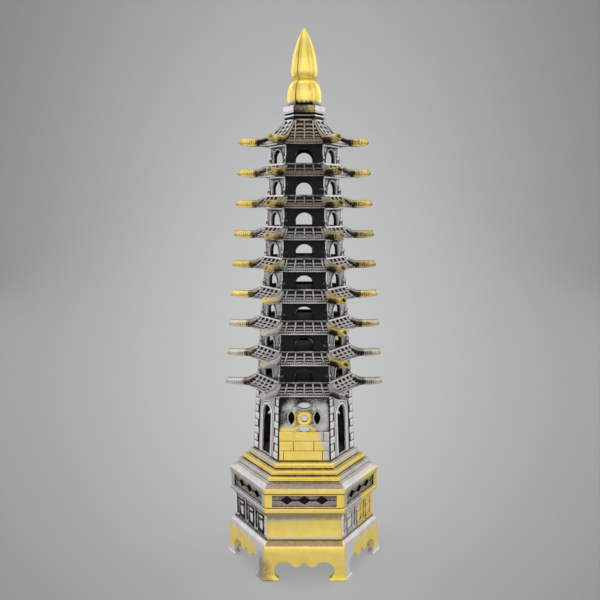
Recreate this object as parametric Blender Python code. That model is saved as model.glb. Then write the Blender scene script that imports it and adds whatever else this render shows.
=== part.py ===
"""A cast metal model of a nine-eaved hexagonal pagoda, 250 mm tall, on a footed plinth.

Metres, +Z up, origin on the table under the centre of the feet. Every casting is a
hexagon with corners on the X axis and a flat face towards -Y. A radius is measured to
a corner unless its name says flat.
"""

import math

import bmesh
import bpy
from mathutils import Matrix, Vector

MM = 0.001
SIDES = 6
FLAT = math.cos(math.pi / SIDES)
GAP = 0.3 * MM

# Storeys, numbered from 1 at the ground. Each is a little narrower than the one below.
STOREYS = 9
STOREY_PITCH = 14.12 * MM
FIRST_EAVE_Z = 83.65 * MM
ROOF_RISE = 6.1 * MM
TOP_ROOF_RISE = 11.9 * MM
WALL_R = 23.1 * MM
WALL_STEP_IN = 0.85 * MM
WALL_THICK = 1.5 * MM
SEAT_DEPTH = 1.0 * MM

# Arches through the walls of storeys 2 to 9
ARCH_HALF = 3.95 * MM
ARCH_HEIGHT = 6.1 * MM
ARCH_STEPS = 6

# Eaves: the overhang past the wall, the fascia, the rim round the storey above
EAVE_OVERHANG = 4.6 * MM
EAVE_THICK = 0.9 * MM
SOFFIT_RISE = 0.5 * MM
RIM_OVERHANG = 0.8 * MM
RIM_HEIGHT = 0.7 * MM
TOP_ROOF_R = 9.3 * MM
TOP_ROOF_BAND = 0.8 * MM

# Hip ridges, which run out past the eaves as horns
HORN_TIP_R = 37.9 * MM
HORN_STEP_IN = 0.99 * MM
HORN_SIDES = 6

# Plinth, from the floor up
STAND_TOP = 18.2 * MM
DRUM_TOP = 30.8 * MM
CORNICE_TOP = 33.8 * MM
FRIEZE_TOP = 40.4 * MM
CAP_FASCIA_TOP = 43.2 * MM
CAP_TOP = 45.3 * MM
STEP_LOWER_TOP = 47.5 * MM
STEP_MIDDLE_TOP = 49.7 * MM
FLOOR_Z = 52.6 * MM
STAND_R = 36.1 * MM
TOE_R = 37.6 * MM
DRUM_R = 34.1 * MM
CORNICE_R = 36.0 * MM
FRIEZE_R = 35.7 * MM
CAP_R = 36.3 * MM
STEP_LOWER_R = 32.1 * MM
STEP_MIDDLE_R = 29.7 * MM
STEP_UPPER_R = 26.5 * MM
SHELL = 2.3 * MM

# Apron of the stand: an arch beside each foot, two lobes and a notch between them
APRON_ARCH = (8.9 * MM, 4.9 * MM)
APRON_ARCH_SIZE = (4.8 * MM, 3.9 * MM)
APRON_LOBE = (3.7 * MM, 8.9 * MM)
APRON_LOBE_R = 2.6 * MM
APRON_NOTCH_Z = 8.8 * MM
TOE_GAP_HALF = 11.6 * MM

# Sunk panels of the frieze and the lozenges sunk further into them
PANEL_HALF = 14.6 * MM
PANEL_EDGE = 0.5 * MM
PANEL_SUNK = 1.2 * MM
LOZENGE_PITCH = 8.3 * MM
LOZENGE_HALF = 2.7 * MM
LOZENGE_HALF_HEIGHT = 1.6 * MM
LOZENGE_SUNK = 1.1 * MM

# Ground storey: doorways and tracery windows on alternate faces
GROUND_FOOT_R = 24.4 * MM
DOOR_HALF = 4.25 * MM
DOOR_TOP = 76.5 * MM
WINDOW_Z = 72.6 * MM
WINDOW_EYE_R = 1.6 * MM
PETAL_OFFSET = 5.9 * MM
LOW_PETAL_OFFSET = 5.1 * MM
PETAL_HALF = 3.2 * MM
PETAL_HALF_WIDTH = 1.45 * MM
PETAL_STEPS = 4
EYE_STEPS = 12
WINDOW_FACES = (0, 2, 4)
DOOR_FACES = (1, 3, 5)

# Finial
NECK_R = 9.5 * MM
NECK_TOP = 211.0 * MM
SEAT_R = 9.9 * MM
SEAT_TOP = 214.7 * MM
BULB_R = 8.3 * MM
BULB_FOOT_R = 7.5 * MM
WAIST_Z = 226.6 * MM
WAIST_R = 5.0 * MM
BUD_R = 6.4 * MM
TIP_Z = 250.0 * MM
LOBE_DEPTH = 0.13
LOBE_POINTS = 24

PEWTER = ("pewter", (0.33, 0.32, 0.30), 0.38)
GOLD = ("gold", (0.83, 0.62, 0.20), 0.32)


def wall_r(storey):
    return WALL_R - WALL_STEP_IN * (storey - 1)


def eave_z(storey):
    return FIRST_EAVE_Z + STOREY_PITCH * (storey - 1)


def rim_z(storey):
    """Top of the rim round the wall that stands on this storey's roof."""
    return eave_z(storey) + ROOF_RISE


def eave_r(storey):
    return wall_r(storey) + EAVE_OVERHANG


def horn_r(storey):
    return HORN_TIP_R - HORN_STEP_IN * (storey - 1)


def wall_top_z(storey):
    """Top of a wall, just under the soffit it carries."""
    return eave_z(storey) + SOFFIT_RISE - GAP


def metal(finish):
    name, colour, roughness = finish
    material = bpy.data.materials.get(name)
    if material:
        return material
    material = bpy.data.materials.new(name)
    material.use_nodes = True
    shader = material.node_tree.nodes["Principled BSDF"]
    shader.inputs["Base Color"].default_value = (*colour, 1.0)
    shader.inputs["Metallic"].default_value = 1.0
    shader.inputs["Roughness"].default_value = roughness
    return material


def object_from(name, bm, finish=PEWTER):
    bmesh.ops.recalc_face_normals(bm, faces=bm.faces)
    mesh = bpy.data.meshes.new(name)
    bm.to_mesh(mesh)
    bm.free()
    mesh.materials.append(metal(finish))
    obj = bpy.data.objects.new(name, mesh)
    bpy.context.scene.collection.objects.link(obj)
    return obj


def hexagon_turned(name, profile, finish=PEWTER):
    """A casting whose section is this outline of (radius, height) points.

    An outline that starts and ends on the axis makes a closed plate or cap, and any
    other outline makes a ring.
    """
    bm = bmesh.new()
    on_axis = profile[0][0] == 0 and profile[-1][0] == 0
    if on_axis:
        profile = profile[1:-1]
    loops = []
    for r, z in profile:
        turns = [2 * math.pi * k / SIDES for k in range(SIDES)]
        loops.append([bm.verts.new((r * math.cos(t), r * math.sin(t), z)) for t in turns])
    if on_axis:
        bm.faces.new(loops[0])
        bm.faces.new(loops[-1])
    else:
        loops.append(loops[0])
    for below, above in zip(loops, loops[1:]):
        for k in range(SIDES):
            m = (k + 1) % SIDES
            bm.faces.new((below[k], below[m], above[m], above[k]))
    return object_from(name, bm, finish)


def face_angle(face):
    """Direction of a face's outward normal. Face 0 is the front, and they run anticlockwise."""
    return math.radians(270 + 60 * face)


def add_prism(bm, outline, face, near, far):
    """A prism through one face: the outline is (along the face, height), near to far from the axis."""
    angle = face_angle(face)
    outward = Vector((math.cos(angle), math.sin(angle), 0))
    along = Vector((-math.sin(angle), math.cos(angle), 0))
    ends = []
    for depth in (near, far):
        ends.append([bm.verts.new(outward * depth + along * u + Vector((0, 0, z))) for u, z in outline])
    inner, outer = ends
    bm.faces.new(inner)
    bm.faces.new(outer)
    for i in range(len(outline)):
        j = (i + 1) % len(outline)
        bm.faces.new((inner[i], inner[j], outer[j], outer[i]))


def cut(obj, bm):
    """Cuts the prisms in bm out of a casting."""
    cutter = object_from(obj.name + "_cutter", bm)
    cutter.hide_render = True
    cutter.display_type = "WIRE"
    modifier = obj.modifiers.new("Cut", "BOOLEAN")
    modifier.operation = "DIFFERENCE"
    modifier.object = cutter


def arc(centre, radii, start, end, steps):
    """Points on an ellipse from one angle to another, in degrees, both ends included."""
    points = []
    for i in range(steps + 1):
        angle = math.radians(start + (end - start) * i / steps)
        points.append((centre[0] + radii[0] * math.cos(angle), centre[1] + radii[1] * math.sin(angle)))
    return points


def arch_outline(half, foot, top, steps=ARCH_STEPS):
    spring = top - half
    return [(-half, foot), (half, foot), *arc((0, spring), (half, half), 0, 180, steps)]


def petal_outline(centre, upright):
    """A pointed oval made of two arcs."""
    radius = (PETAL_HALF**2 + PETAL_HALF_WIDTH**2) / (2 * PETAL_HALF_WIDTH)
    sweep = math.degrees(math.asin(PETAL_HALF / radius))
    offset = radius - PETAL_HALF_WIDTH
    upper = arc((0, -offset), (radius, radius), 90 - sweep, 90 + sweep, PETAL_STEPS)
    lower = arc((0, offset), (radius, radius), 270 - sweep, 270 + sweep, PETAL_STEPS)
    points = upper[:-1] + lower[:-1]
    if upright:
        points = [(-v, u) for u, v in points]
    return [(centre[0] + u, centre[1] + v) for u, v in points]


def mirrored(half_outline):
    """A whole outline from the points of its +u half, which run from the middle round to the middle."""
    return half_outline + [(-u, z) for u, z in reversed(half_outline) if u > 0]


def make_stand():
    inner_r = STAND_R - SHELL
    stand = hexagon_turned(
        "foot_stand",
        [
            (TOE_R, 0),
            (TOE_R, 0.7 * MM),
            (STAND_R + 0.2 * MM, 3.6 * MM),
            (STAND_R, 13.2 * MM),
            (STAND_R - 0.5 * MM, 16.0 * MM),
            (DRUM_R + 0.3 * MM, STAND_TOP),
            (DRUM_R - SHELL, STAND_TOP),
            (DRUM_R - SHELL, 15.8 * MM),
            (inner_r, 13.2 * MM),
            (inner_r, 0),
        ],
    )
    edge = arc(APRON_LOBE, (APRON_LOBE_R, APRON_LOBE_R), -150, -30, 4)
    edge += arc(APRON_ARCH, APRON_ARCH_SIZE, 128, 0, 6)
    half = [(0, APRON_NOTCH_Z), *edge, (13.3 * MM, 2.8 * MM), (TOE_GAP_HALF, 0.6 * MM), (TOE_GAP_HALF, -MM)]
    bm = bmesh.new()
    for face in range(SIDES):
        add_prism(bm, mirrored(half), face, 28.2 * MM, 40 * MM)
    cut(stand, bm)


def ring(name, outer_r, inner_r, foot, top, finish=PEWTER):
    return hexagon_turned(name, [(outer_r, foot), (outer_r, top), (inner_r, top), (inner_r, foot)], finish)


def make_frieze():
    frieze = ring("plinth_frieze", FRIEZE_R, FRIEZE_R - 3.2 * MM, CORNICE_TOP + GAP, FRIEZE_TOP)
    low, high = CORNICE_TOP + GAP + PANEL_EDGE, FRIEZE_TOP - PANEL_EDGE
    middle = (low + high) / 2
    flat = FRIEZE_R * FLAT
    bm = bmesh.new()
    for face in range(SIDES):
        panel = [(-PANEL_HALF, low), (PANEL_HALF, low), (PANEL_HALF, high), (-PANEL_HALF, high)]
        add_prism(bm, panel, face, flat - PANEL_SUNK, flat + 2 * MM)
    cut(frieze, bm)
    bm = bmesh.new()
    for face in range(SIDES):
        for place in (-1, 0, 1):
            u = place * LOZENGE_PITCH
            lozenge = arc((u, middle), (LOZENGE_HALF, LOZENGE_HALF_HEIGHT), 0, 270, 3)
            add_prism(bm, lozenge, face, flat - PANEL_SUNK - LOZENGE_SUNK, flat + MM)
    cut(frieze, bm)


def make_plinth():
    make_stand()
    ring("panel_drum", DRUM_R, DRUM_R - SHELL, STAND_TOP + GAP, DRUM_TOP)
    hexagon_turned(
        "drum_cornice",
        [
            (DRUM_R, DRUM_TOP + GAP),
            (CORNICE_R, DRUM_TOP + 0.7 * MM),
            (CORNICE_R, CORNICE_TOP),
            (DRUM_R - SHELL, CORNICE_TOP),
            (DRUM_R - SHELL, DRUM_TOP + GAP),
        ],
    )
    make_frieze()
    hexagon_turned(
        "plinth_cap",
        [
            (CAP_R, FRIEZE_TOP + GAP),
            (CAP_R, CAP_FASCIA_TOP),
            (STEP_LOWER_R + 0.4 * MM, CAP_TOP),
            (STEP_LOWER_R - 4 * MM, CAP_TOP),
            (STEP_LOWER_R - 4 * MM, FRIEZE_TOP + GAP),
        ],
    )
    step("step_lower", STEP_LOWER_R, STEP_MIDDLE_R, CAP_TOP, STEP_LOWER_TOP)
    step("step_middle", STEP_MIDDLE_R, STEP_UPPER_R, STEP_LOWER_TOP, STEP_MIDDLE_TOP)
    hexagon_turned(
        "step_upper",
        [
            (0, STEP_MIDDLE_TOP + GAP),
            (STEP_UPPER_R, STEP_MIDDLE_TOP + GAP),
            (STEP_UPPER_R, 51.5 * MM),
            (GROUND_FOOT_R + 0.2 * MM, FLOOR_Z),
            (0, FLOOR_Z),
        ],
        GOLD,
    )


def step(name, outer_r, next_r, below, above):
    """A ring whose face stands upright and whose tread slopes up to the step above it."""
    hexagon_turned(
        name,
        [
            (outer_r, below + GAP),
            (outer_r, above - 0.6 * MM),
            (next_r + 0.3 * MM, above),
            (next_r - 3.4 * MM, above),
            (next_r - 3.4 * MM, below + GAP),
        ],
        GOLD,
    )


def make_ground_wall():
    top = wall_top_z(1)
    thick = WALL_THICK / FLAT
    wall = hexagon_turned(
        "ground_wall",
        [
            (GROUND_FOOT_R, FLOOR_Z + GAP),
            (wall_r(1), top),
            (wall_r(1) - thick, top),
            (GROUND_FOOT_R - thick, FLOOR_Z + GAP),
        ],
    )
    near, far = 16 * MM, 26 * MM
    bm = bmesh.new()
    for face in DOOR_FACES:
        add_prism(bm, arch_outline(DOOR_HALF, FLOOR_Z + 0.9 * MM, DOOR_TOP, 8), face, near, far)
    for face in WINDOW_FACES:
        eye = arc((0, WINDOW_Z), (WINDOW_EYE_R, WINDOW_EYE_R), 0, 330, EYE_STEPS - 1)
        add_prism(bm, eye, face, near, far)
        add_prism(bm, petal_outline((0, WINDOW_Z + PETAL_OFFSET), False), face, near, far)
        add_prism(bm, petal_outline((0, WINDOW_Z - LOW_PETAL_OFFSET), False), face, near, far)
        for u in (-PETAL_OFFSET, PETAL_OFFSET):
            add_prism(bm, petal_outline((u, WINDOW_Z), True), face, near, far)
    cut(wall, bm)


def make_wall(storey):
    """An upper storey's wall: it stands in the seat of the roof below and runs up inside its own."""
    r = wall_r(storey)
    foot = rim_z(storey - 1) - SEAT_DEPTH + GAP
    wall = ring(f"wall_{storey}", r, r - WALL_THICK / FLAT, foot, wall_top_z(storey))
    sill = rim_z(storey - 1)
    flat = r * FLAT
    bm = bmesh.new()
    for face in range(SIDES):
        outline = arch_outline(ARCH_HALF, sill, sill + ARCH_HEIGHT)
        add_prism(bm, outline, face, flat - 3 * MM, flat + 2 * MM)
    cut(wall, bm)


def roof_underside(storey):
    """The outline of a roof casting from its middle out over the soffit and up the fascia."""
    z = eave_z(storey)
    edge = eave_r(storey)
    return [
        (0, z + SOFFIT_RISE),
        (wall_r(storey) + 0.5 * MM, z + SOFFIT_RISE),
        (edge - 0.4 * MM, z),
        (edge, z + 0.2 * MM),
        (edge, z + EAVE_THICK),
    ]


def make_roof(storey):
    """A roof casting. Its top is the floor of the storey above, whose wall stands inside the rim."""
    z = eave_z(storey)
    next_r = wall_r(storey + 1)
    rim_r = next_r + RIM_OVERHANG
    rim = rim_z(storey)
    run = eave_r(storey) - rim_r
    profile = [
        *roof_underside(storey),
        (rim_r + 0.45 * run, z + 2.6 * MM),
        (rim_r + 0.05 * MM, rim - RIM_HEIGHT),
        (rim_r + 0.1 * MM, rim),
        (next_r + GAP, rim),
        (next_r + GAP, rim - SEAT_DEPTH),
        (0, rim - SEAT_DEPTH),
    ]
    roof = hexagon_turned(f"roof_{storey}", profile)
    head = [
        (rim_r - 0.35 * MM, z + 4.45 * MM, 1.2 * MM, 1.3 * MM),
        (rim_r + 0.35 * run, z + 3.3 * MM, 1.5 * MM, 1.5 * MM),
        (rim_r + 0.75 * run, z + 2.3 * MM, 1.75 * MM, 1.75 * MM),
    ]
    add_horns(roof, storey, head)


def make_top_roof():
    storey = STOREYS
    z = eave_z(storey)
    top = z + TOP_ROOF_RISE
    run = eave_r(storey) - TOP_ROOF_R
    profile = [
        *roof_underside(storey),
        (TOP_ROOF_R + 0.6 * run, z + 3.4 * MM),
        (TOP_ROOF_R + 0.28 * run, z + 6.9 * MM),
        (TOP_ROOF_R, top - TOP_ROOF_BAND),
        (TOP_ROOF_R, top),
        (0, top),
    ]
    roof = hexagon_turned(f"roof_{storey}", profile)
    head = [
        (TOP_ROOF_R - 0.3 * MM, z + 11.0 * MM, 0.6 * MM, 0.6 * MM),
        (TOP_ROOF_R + 0.28 * run, z + 7.1 * MM, 0.85 * MM, 0.8 * MM),
        (TOP_ROOF_R + 0.6 * run, z + 3.8 * MM, 1.25 * MM, 1.2 * MM),
        (TOP_ROOF_R + 0.85 * run, z + 2.4 * MM, 1.65 * MM, 1.6 * MM),
    ]
    add_horns(roof, storey, head)


def add_horns(roof, storey, head):
    """Joins a rounded ridge to each hip, which runs out past the eave as a horn.

    Head holds the ridge's stations down the hip, as (radius, height, half width, half height).
    """
    z, edge, tip = eave_z(storey), eave_r(storey), horn_r(storey)
    reach = tip - edge
    stations = [
        *head,
        (edge + 0.3 * MM, z + 1.95 * MM, 1.95 * MM, 1.8 * MM),
        (edge + 0.45 * reach, z + 1.95 * MM, 1.9 * MM, 1.8 * MM),
        (edge + 0.85 * reach, z + 2.35 * MM, 1.65 * MM, 1.6 * MM),
        (tip, z + 2.65 * MM, 1.35 * MM, 1.3 * MM),
    ]
    bm = bmesh.new()
    for corner in range(SIDES):
        add_bar(bm, stations, math.radians(60 * corner))
    horns = object_from(roof.name + "_horns", bm)
    horns.hide_render = True
    horns.display_type = "WIRE"
    modifier = roof.modifiers.new("Horns", "BOOLEAN")
    modifier.operation = "UNION"
    modifier.object = horns


def add_bar(bm, stations, turn):
    """A bar of oval section along a line in the upright plane at this angle."""
    spin = Matrix.Rotation(turn, 3, "Z")
    loops = []
    for i, (r, z, half_width, half_height) in enumerate(stations):
        before, after = stations[max(i - 1, 0)], stations[min(i + 1, len(stations) - 1)]
        tangent = Vector((after[0] - before[0], 0, after[1] - before[1])).normalized()
        up = Vector((-tangent.z, 0, tangent.x))
        loop = []
        for k in range(HORN_SIDES):
            angle = 2 * math.pi * (k + 0.5) / HORN_SIDES
            side = Vector((0, half_width * math.cos(angle), 0))
            loop.append(bm.verts.new(spin @ (Vector((r, 0, z)) + side + up * half_height * math.sin(angle))))
        loops.append(loop)
    bm.faces.new(loops[0])
    bm.faces.new(loops[-1])
    for a, b in zip(loops, loops[1:]):
        for k in range(HORN_SIDES):
            m = (k + 1) % HORN_SIDES
            bm.faces.new((a[k], a[m], b[m], b[k]))


def lobed(name, levels, pointed=False):
    """A six-lobed turned form through (radius, height) levels, with its seams on the corners."""
    bm = bmesh.new()
    loops = []
    for r, z in levels:
        loop = []
        for k in range(LOBE_POINTS):
            angle = 2 * math.pi * k / LOBE_POINTS
            seam = (1 - abs(math.sin(3 * angle))) ** 2
            reach = r * (1 - LOBE_DEPTH * seam)
            loop.append(bm.verts.new((reach * math.cos(angle), reach * math.sin(angle), z)))
        loops.append(loop)
    for a, b in zip(loops, loops[1:]):
        for k in range(LOBE_POINTS):
            m = (k + 1) % LOBE_POINTS
            bm.faces.new((a[k], a[m], b[m], b[k]))
    bm.faces.new(loops[0])
    if pointed:
        tip = bm.verts.new((0, 0, TIP_Z))
        for k in range(LOBE_POINTS):
            bm.faces.new((loops[-1][k], loops[-1][(k + 1) % LOBE_POINTS], tip))
    else:
        bm.faces.new(loops[-1])
    return object_from(name, bm, GOLD)


def make_finial():
    foot = eave_z(STOREYS) + TOP_ROOF_RISE + GAP
    middle = (foot + NECK_TOP) / 2
    hexagon_turned(
        "neck_ring",
        [
            (0, foot),
            (NECK_R - 0.6 * MM, foot),
            (NECK_R, middle),
            (NECK_R - 0.5 * MM, NECK_TOP),
            (0, NECK_TOP),
        ],
    )
    hexagon_turned(
        "finial_seat",
        [(0, NECK_TOP + GAP), (SEAT_R - 0.2 * MM, NECK_TOP + GAP), (SEAT_R, SEAT_TOP), (0, SEAT_TOP)],
    )
    base, top = SEAT_TOP + GAP, WAIST_Z
    rise = top - base
    lobed(
        "lotus_bulb",
        [
            (BULB_FOOT_R, base),
            (BULB_R * 0.98, base + 0.13 * rise),
            (BULB_R, base + 0.34 * rise),
            (BULB_R * 0.97, base + 0.53 * rise),
            (BULB_R * 0.9, base + 0.7 * rise),
            (BULB_R * 0.77, base + 0.87 * rise),
            (WAIST_R, top),
        ],
    )
    base = WAIST_Z + GAP
    rise = TIP_Z - base
    lobed(
        "lotus_bud",
        [
            (WAIST_R, base),
            (BUD_R * 0.91, base + 0.04 * rise),
            (BUD_R, base + 0.14 * rise),
            (BUD_R * 0.98, base + 0.24 * rise),
            (BUD_R * 0.9, base + 0.42 * rise),
            (BUD_R * 0.75, base + 0.61 * rise),
            (BUD_R * 0.49, base + 0.82 * rise),
            (BUD_R * 0.24, base + 0.94 * rise),
        ],
        pointed=True,
    )


def clear_scene():
    for obj in list(bpy.data.objects):
        bpy.data.objects.remove(obj)


def main():
    clear_scene()
    make_plinth()
    make_ground_wall()
    for storey in range(1, STOREYS):
        make_roof(storey)
        make_wall(storey + 1)
    make_top_roof()
    make_finial()


main()
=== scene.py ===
"""Blender scene: a cast metal model of a nine-eaved hexagonal pagoda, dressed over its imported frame.

Sizes of the model are in millimetres and become metres when a mesh is made. The camera, the
lights and the paper are laid out in metres. Face 0 of the hexagon is the front, towards -Y,
and the faces are numbered anticlockwise from above.
"""

import math

import bmesh
import bpy
import numpy as np
from mathutils import Matrix, Vector

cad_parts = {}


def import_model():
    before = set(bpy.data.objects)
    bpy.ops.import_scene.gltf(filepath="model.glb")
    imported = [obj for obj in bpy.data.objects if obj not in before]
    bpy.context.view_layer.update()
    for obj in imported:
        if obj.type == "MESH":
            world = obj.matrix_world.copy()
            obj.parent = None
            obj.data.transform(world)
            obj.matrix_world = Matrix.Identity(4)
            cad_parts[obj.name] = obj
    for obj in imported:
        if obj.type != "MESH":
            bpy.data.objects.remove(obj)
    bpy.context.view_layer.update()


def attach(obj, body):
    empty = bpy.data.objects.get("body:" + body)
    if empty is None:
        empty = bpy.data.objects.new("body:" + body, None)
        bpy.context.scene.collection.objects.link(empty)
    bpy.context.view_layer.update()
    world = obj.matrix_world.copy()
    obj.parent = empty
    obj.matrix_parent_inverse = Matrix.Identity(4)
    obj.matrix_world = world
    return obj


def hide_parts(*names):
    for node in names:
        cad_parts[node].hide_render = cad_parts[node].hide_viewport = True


MM = 0.001
SIXTH = math.radians(60)
FLAT = math.cos(SIXTH / 2)
SLANT = math.tan(SIXTH / 2)

# Storeys, as the frame has them
STOREYS = 9
STOREY_PITCH = 14.12
FIRST_EAVE_Z = 83.65
ROOF_RISE = 6.1
TOP_ROOF_RISE = 11.9
EAVE_OVERHANG = 4.6
RIM_OVERHANG = 0.8
SOFFIT_RISE = 0.5
TOP_ROOF_R = 9.3
ARCH_HALF = 3.95
ARCH_HEIGHT = 6.1
WALL_THICK = 1.5

# Roof dressing
COLUMN_PITCH = 3.9
COLUMN_FAN = 0.15
COLUMNS = 6
DECK_SUNK = 0.65
SAG = 0.67
TILE_HEAD_DROP, TOP_TILE_HEAD_DROP = 0.95, 0.8
TILE_FOOT_Z = 1.4
TILE_FOOT_INSET = 0.35
BEAD_PITCH = 0.95
EAVE_SWEEP = 2.6
EAVE_LIFT = 0.7

# Horns, whose blunt end is built in steps of (how far forward, share of the width)
HORN_STEP = 0.22
HORN_GROOVE = 1.0
HORN_GROOVE_DEPTH = 0.09
HORN_FILLET = 0.27
HORN_END_HALF = 1.32
HORN_END = ((0.1, 1.0), (0.15, 1.07), (0.35, 1.08), (0.42, 0.95), (0.38, 0.72), (0.0, 0.6), (-0.35, 0.3))
HORN_ANGLES = (90, 74, 62, 56, 51, 46, 41, 36, 28, 14, 0, -14, -28, -36, -41, -46, -51, -56, -66, -78, -90)

# A moulding's section, as shares of its width and height
MOULDING = ((-0.5, -0.25), (-0.5, 0.45), (-0.3, 0.85), (0, 1), (0.3, 0.85), (0.5, 0.45), (0.5, -0.25))

# Plinth
FLOOR_Z = 52.6
STEP_NAMES = ("lower_step", "middle_step", "upper_step")
STEP_TOPS = (47.5, 49.7, 52.6)
STEP_RADII = (32.1, 29.7, 26.5)
CAP_TOP, CAP_FASCIA_TOP, FRIEZE_TOP = 45.3, 43.2, 40.4
CORNICE_TOP, DRUM_TOP, STAND_TOP = 33.8, 30.8, 18.2
DRUM_R, CORNICE_R, FRIEZE_R, CAP_R = 34.1, 36.0, 35.7, 36.3
GROUND_FOOT_R, GROUND_HEAD_R = 24.1, 22.6
GROUND_HEAD_LIFT = 0.2
DRUM_HOLLOW = 0.55
SEAM_GAP = 0.3

# Ground storey: doorways on three faces and pierced windows on the others
CUT_NEAR, CUT_FAR = 16, 26
DOOR_HALF, DOOR_TOP_Z = 4.25, 76.5
DOOR_SPRING_Z = DOOR_TOP_Z - DOOR_HALF
QUOINS, QUOIN_HEIGHT = 9, 3.55
QUOIN_JOINT_TOP_Z = 81.4
WINDOW_Z, WINDOW_HALF = 72.6, 11.6
WINDOW_EYE_R, WINDOW_RING_R = 1.6, 2.4
PETALS = (((0, 5.9), False), ((0, -5.1), False), ((5.9, 0.3), True), ((-5.9, 0.3), True))
PETAL_HALF, PETAL_HALF_WIDTH = 3.1, 1.45
COURSES = (53.1, 57.5, 62.1, 66.5)
COURSE_JOINTS = ((-9.5, 8.4), (-5.0, 4.4), (8.8,))
ARCH_FOOT_Z = 66.3
ARCH_RADII = (4.25, 3.2)

# Finial
NECK_R, NECK_TOP = 8.6, 211.0
BULB_FOOT_Z, WAIST_Z = 215.0, 226.6

# Finish
# How far the occlusion rays reach; the black they give is patina in the hollows and painted shade, under the
# eaves too
PATINA_AND_SHADE_REACH = 3.2
SHARP_ANGLE = 38

# Camera and backdrop, in metres and degrees
CAMERA_PLACE = (-0.00196, -0.3583, 0.1707)
CAMERA_TILT = 7.28
CAMERA_LENS = 45.48
PAPER_GLOW = 0.42
PAPER_DIMMING = (7.9, 2.7)


def wall_r(storey):
    return 23.1 - 0.85 * (storey - 1)


def eave_z(storey):
    return FIRST_EAVE_Z + STOREY_PITCH * (storey - 1)


def rim_z(storey):
    return eave_z(storey) + (TOP_ROOF_RISE if storey == STOREYS else ROOF_RISE)


def eave_r(storey):
    return wall_r(storey) + EAVE_OVERHANG


def rim_flat(storey):
    """Distance from the axis to a flat side of a roof's rim."""
    return (TOP_ROOF_R if storey == STOREYS else wall_r(storey + 1) + RIM_OVERHANG) * FLAT


def horn_r(storey):
    return 37.9 - 0.99 * (storey - 1)


class Field:
    """A node's output that takes part in arithmetic."""

    def __init__(self, maker, socket):
        self.maker = maker
        self.socket = socket

    def __add__(self, other):
        return self.maker.math("ADD", self, other)

    def __sub__(self, other):
        return self.maker.math("SUBTRACT", self, other)

    def __mul__(self, other):
        return self.maker.math("MULTIPLY", self, other)

    def __truediv__(self, other):
        return self.maker.math("DIVIDE", self, other)

    def __rsub__(self, other):
        return self.maker.math("SUBTRACT", other, self)


class NodeMaker:
    """Makes and links the nodes of one tree."""

    def __init__(self, tree):
        self.tree = tree

    def put(self, socket, value):
        if isinstance(value, Field):
            self.tree.links.new(value.socket, socket)
        else:
            socket.default_value = value

    def node(self, kind, inputs=None, output=0, **settings):
        made = self.tree.nodes.new(kind)
        for key, value in settings.items():
            setattr(made, key, value)
        for key, value in (inputs or {}).items():
            self.put(made.inputs[key], value)
        return Field(self, made.outputs[output])

    def math(self, operation, a, b=0.0):
        return self.node("ShaderNodeMath", {0: a, 1: b}, operation=operation)


class Recipe(NodeMaker):
    """A geometry node tree with a mesh in, a mesh out and named sizes."""

    kinds = {
        "number": "NodeSocketFloat",
        "count": "NodeSocketInt",
        "object": "NodeSocketObject",
        "finish": "NodeSocketMaterial",
    }

    def __init__(self, name, sizes):
        super().__init__(bpy.data.node_groups.new(name, "GeometryNodeTree"))
        interface = self.tree.interface
        interface.new_socket("Mesh", in_out="INPUT", socket_type="NodeSocketGeometry")
        interface.new_socket("Mesh", in_out="OUTPUT", socket_type="NodeSocketGeometry")
        self.identifiers = {}
        for label, kind in sizes.items():
            socket = interface.new_socket(label, in_out="INPUT", socket_type=self.kinds[kind])
            self.identifiers[label] = socket.identifier
        self.inlet = self.tree.nodes.new("NodeGroupInput")
        self.outlet = self.tree.nodes.new("NodeGroupOutput")
        self.mesh = self.size("Mesh")

    def size(self, label):
        return Field(self, self.inlet.outputs[label])

    def vector(self, x, y, z):
        return self.node("ShaderNodeCombineXYZ", {"X": x, "Y": y, "Z": z})

    def points(self, count):
        return self.node("GeometryNodePoints", {"Count": count})

    def index(self):
        return self.node("GeometryNodeInputIndex")

    def moved(self, geometry, x, y, z):
        return self.node("GeometryNodeSetPosition", {"Geometry": geometry, "Position": self.vector(x, y, z)})

    def real(self, copies):
        return self.node("GeometryNodeRealizeInstances", {"Geometry": copies})

    def copies(self, points, mesh, **more):
        return self.node("GeometryNodeInstanceOnPoints", {"Points": points, "Instance": mesh, **more})

    def stored(self, geometry, name, value, domain):
        inputs = {"Geometry": geometry, "Name": name, "Value": value}
        return self.node("GeometryNodeStoreNamedAttribute", inputs, data_type="FLOAT", domain=domain)

    def repeat_round(self, mesh, count, start):
        """Copies of a mesh turned round the Z axis, made real and joined where they meet."""
        turn = self.index() * (2 * math.pi) / count + start
        copies = self.copies(self.points(count), mesh, Rotation=self.vector(0.0, 0.0, turn))
        inputs = {"Geometry": self.real(copies), "Distance": 0.002 * MM}
        return self.node("GeometryNodeMergeByDistance", inputs)

    def serve(self, mesh):
        inputs = {"Geometry": mesh, "Material": self.size("Finish")}
        done = self.node("GeometryNodeSetMaterial", inputs)
        self.tree.links.new(done.socket, self.outlet.inputs[0])

    def serve_six(self, face):
        """Serves what was laid on face 0, on all six faces."""
        self.serve(self.repeat_round(face, 6, 0.0))


def solid(name, bm):
    """An object from a mesh that was laid out in millimetres."""
    bmesh.ops.scale(bm, vec=(MM, MM, MM), verts=bm.verts)
    bmesh.ops.recalc_face_normals(bm, faces=bm.faces)
    mesh = bpy.data.meshes.new(name)
    bm.to_mesh(mesh)
    bm.free()
    obj = bpy.data.objects.new(name, mesh)
    bpy.context.scene.collection.objects.link(obj)
    return obj


def settled(obj):
    """The object with its modifiers turned into plain mesh."""
    graph = bpy.context.evaluated_depsgraph_get()
    mesh = bpy.data.meshes.new_from_object(obj.evaluated_get(graph), depsgraph=graph)
    obj.modifiers.clear()
    obj.data = mesh
    return obj


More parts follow.
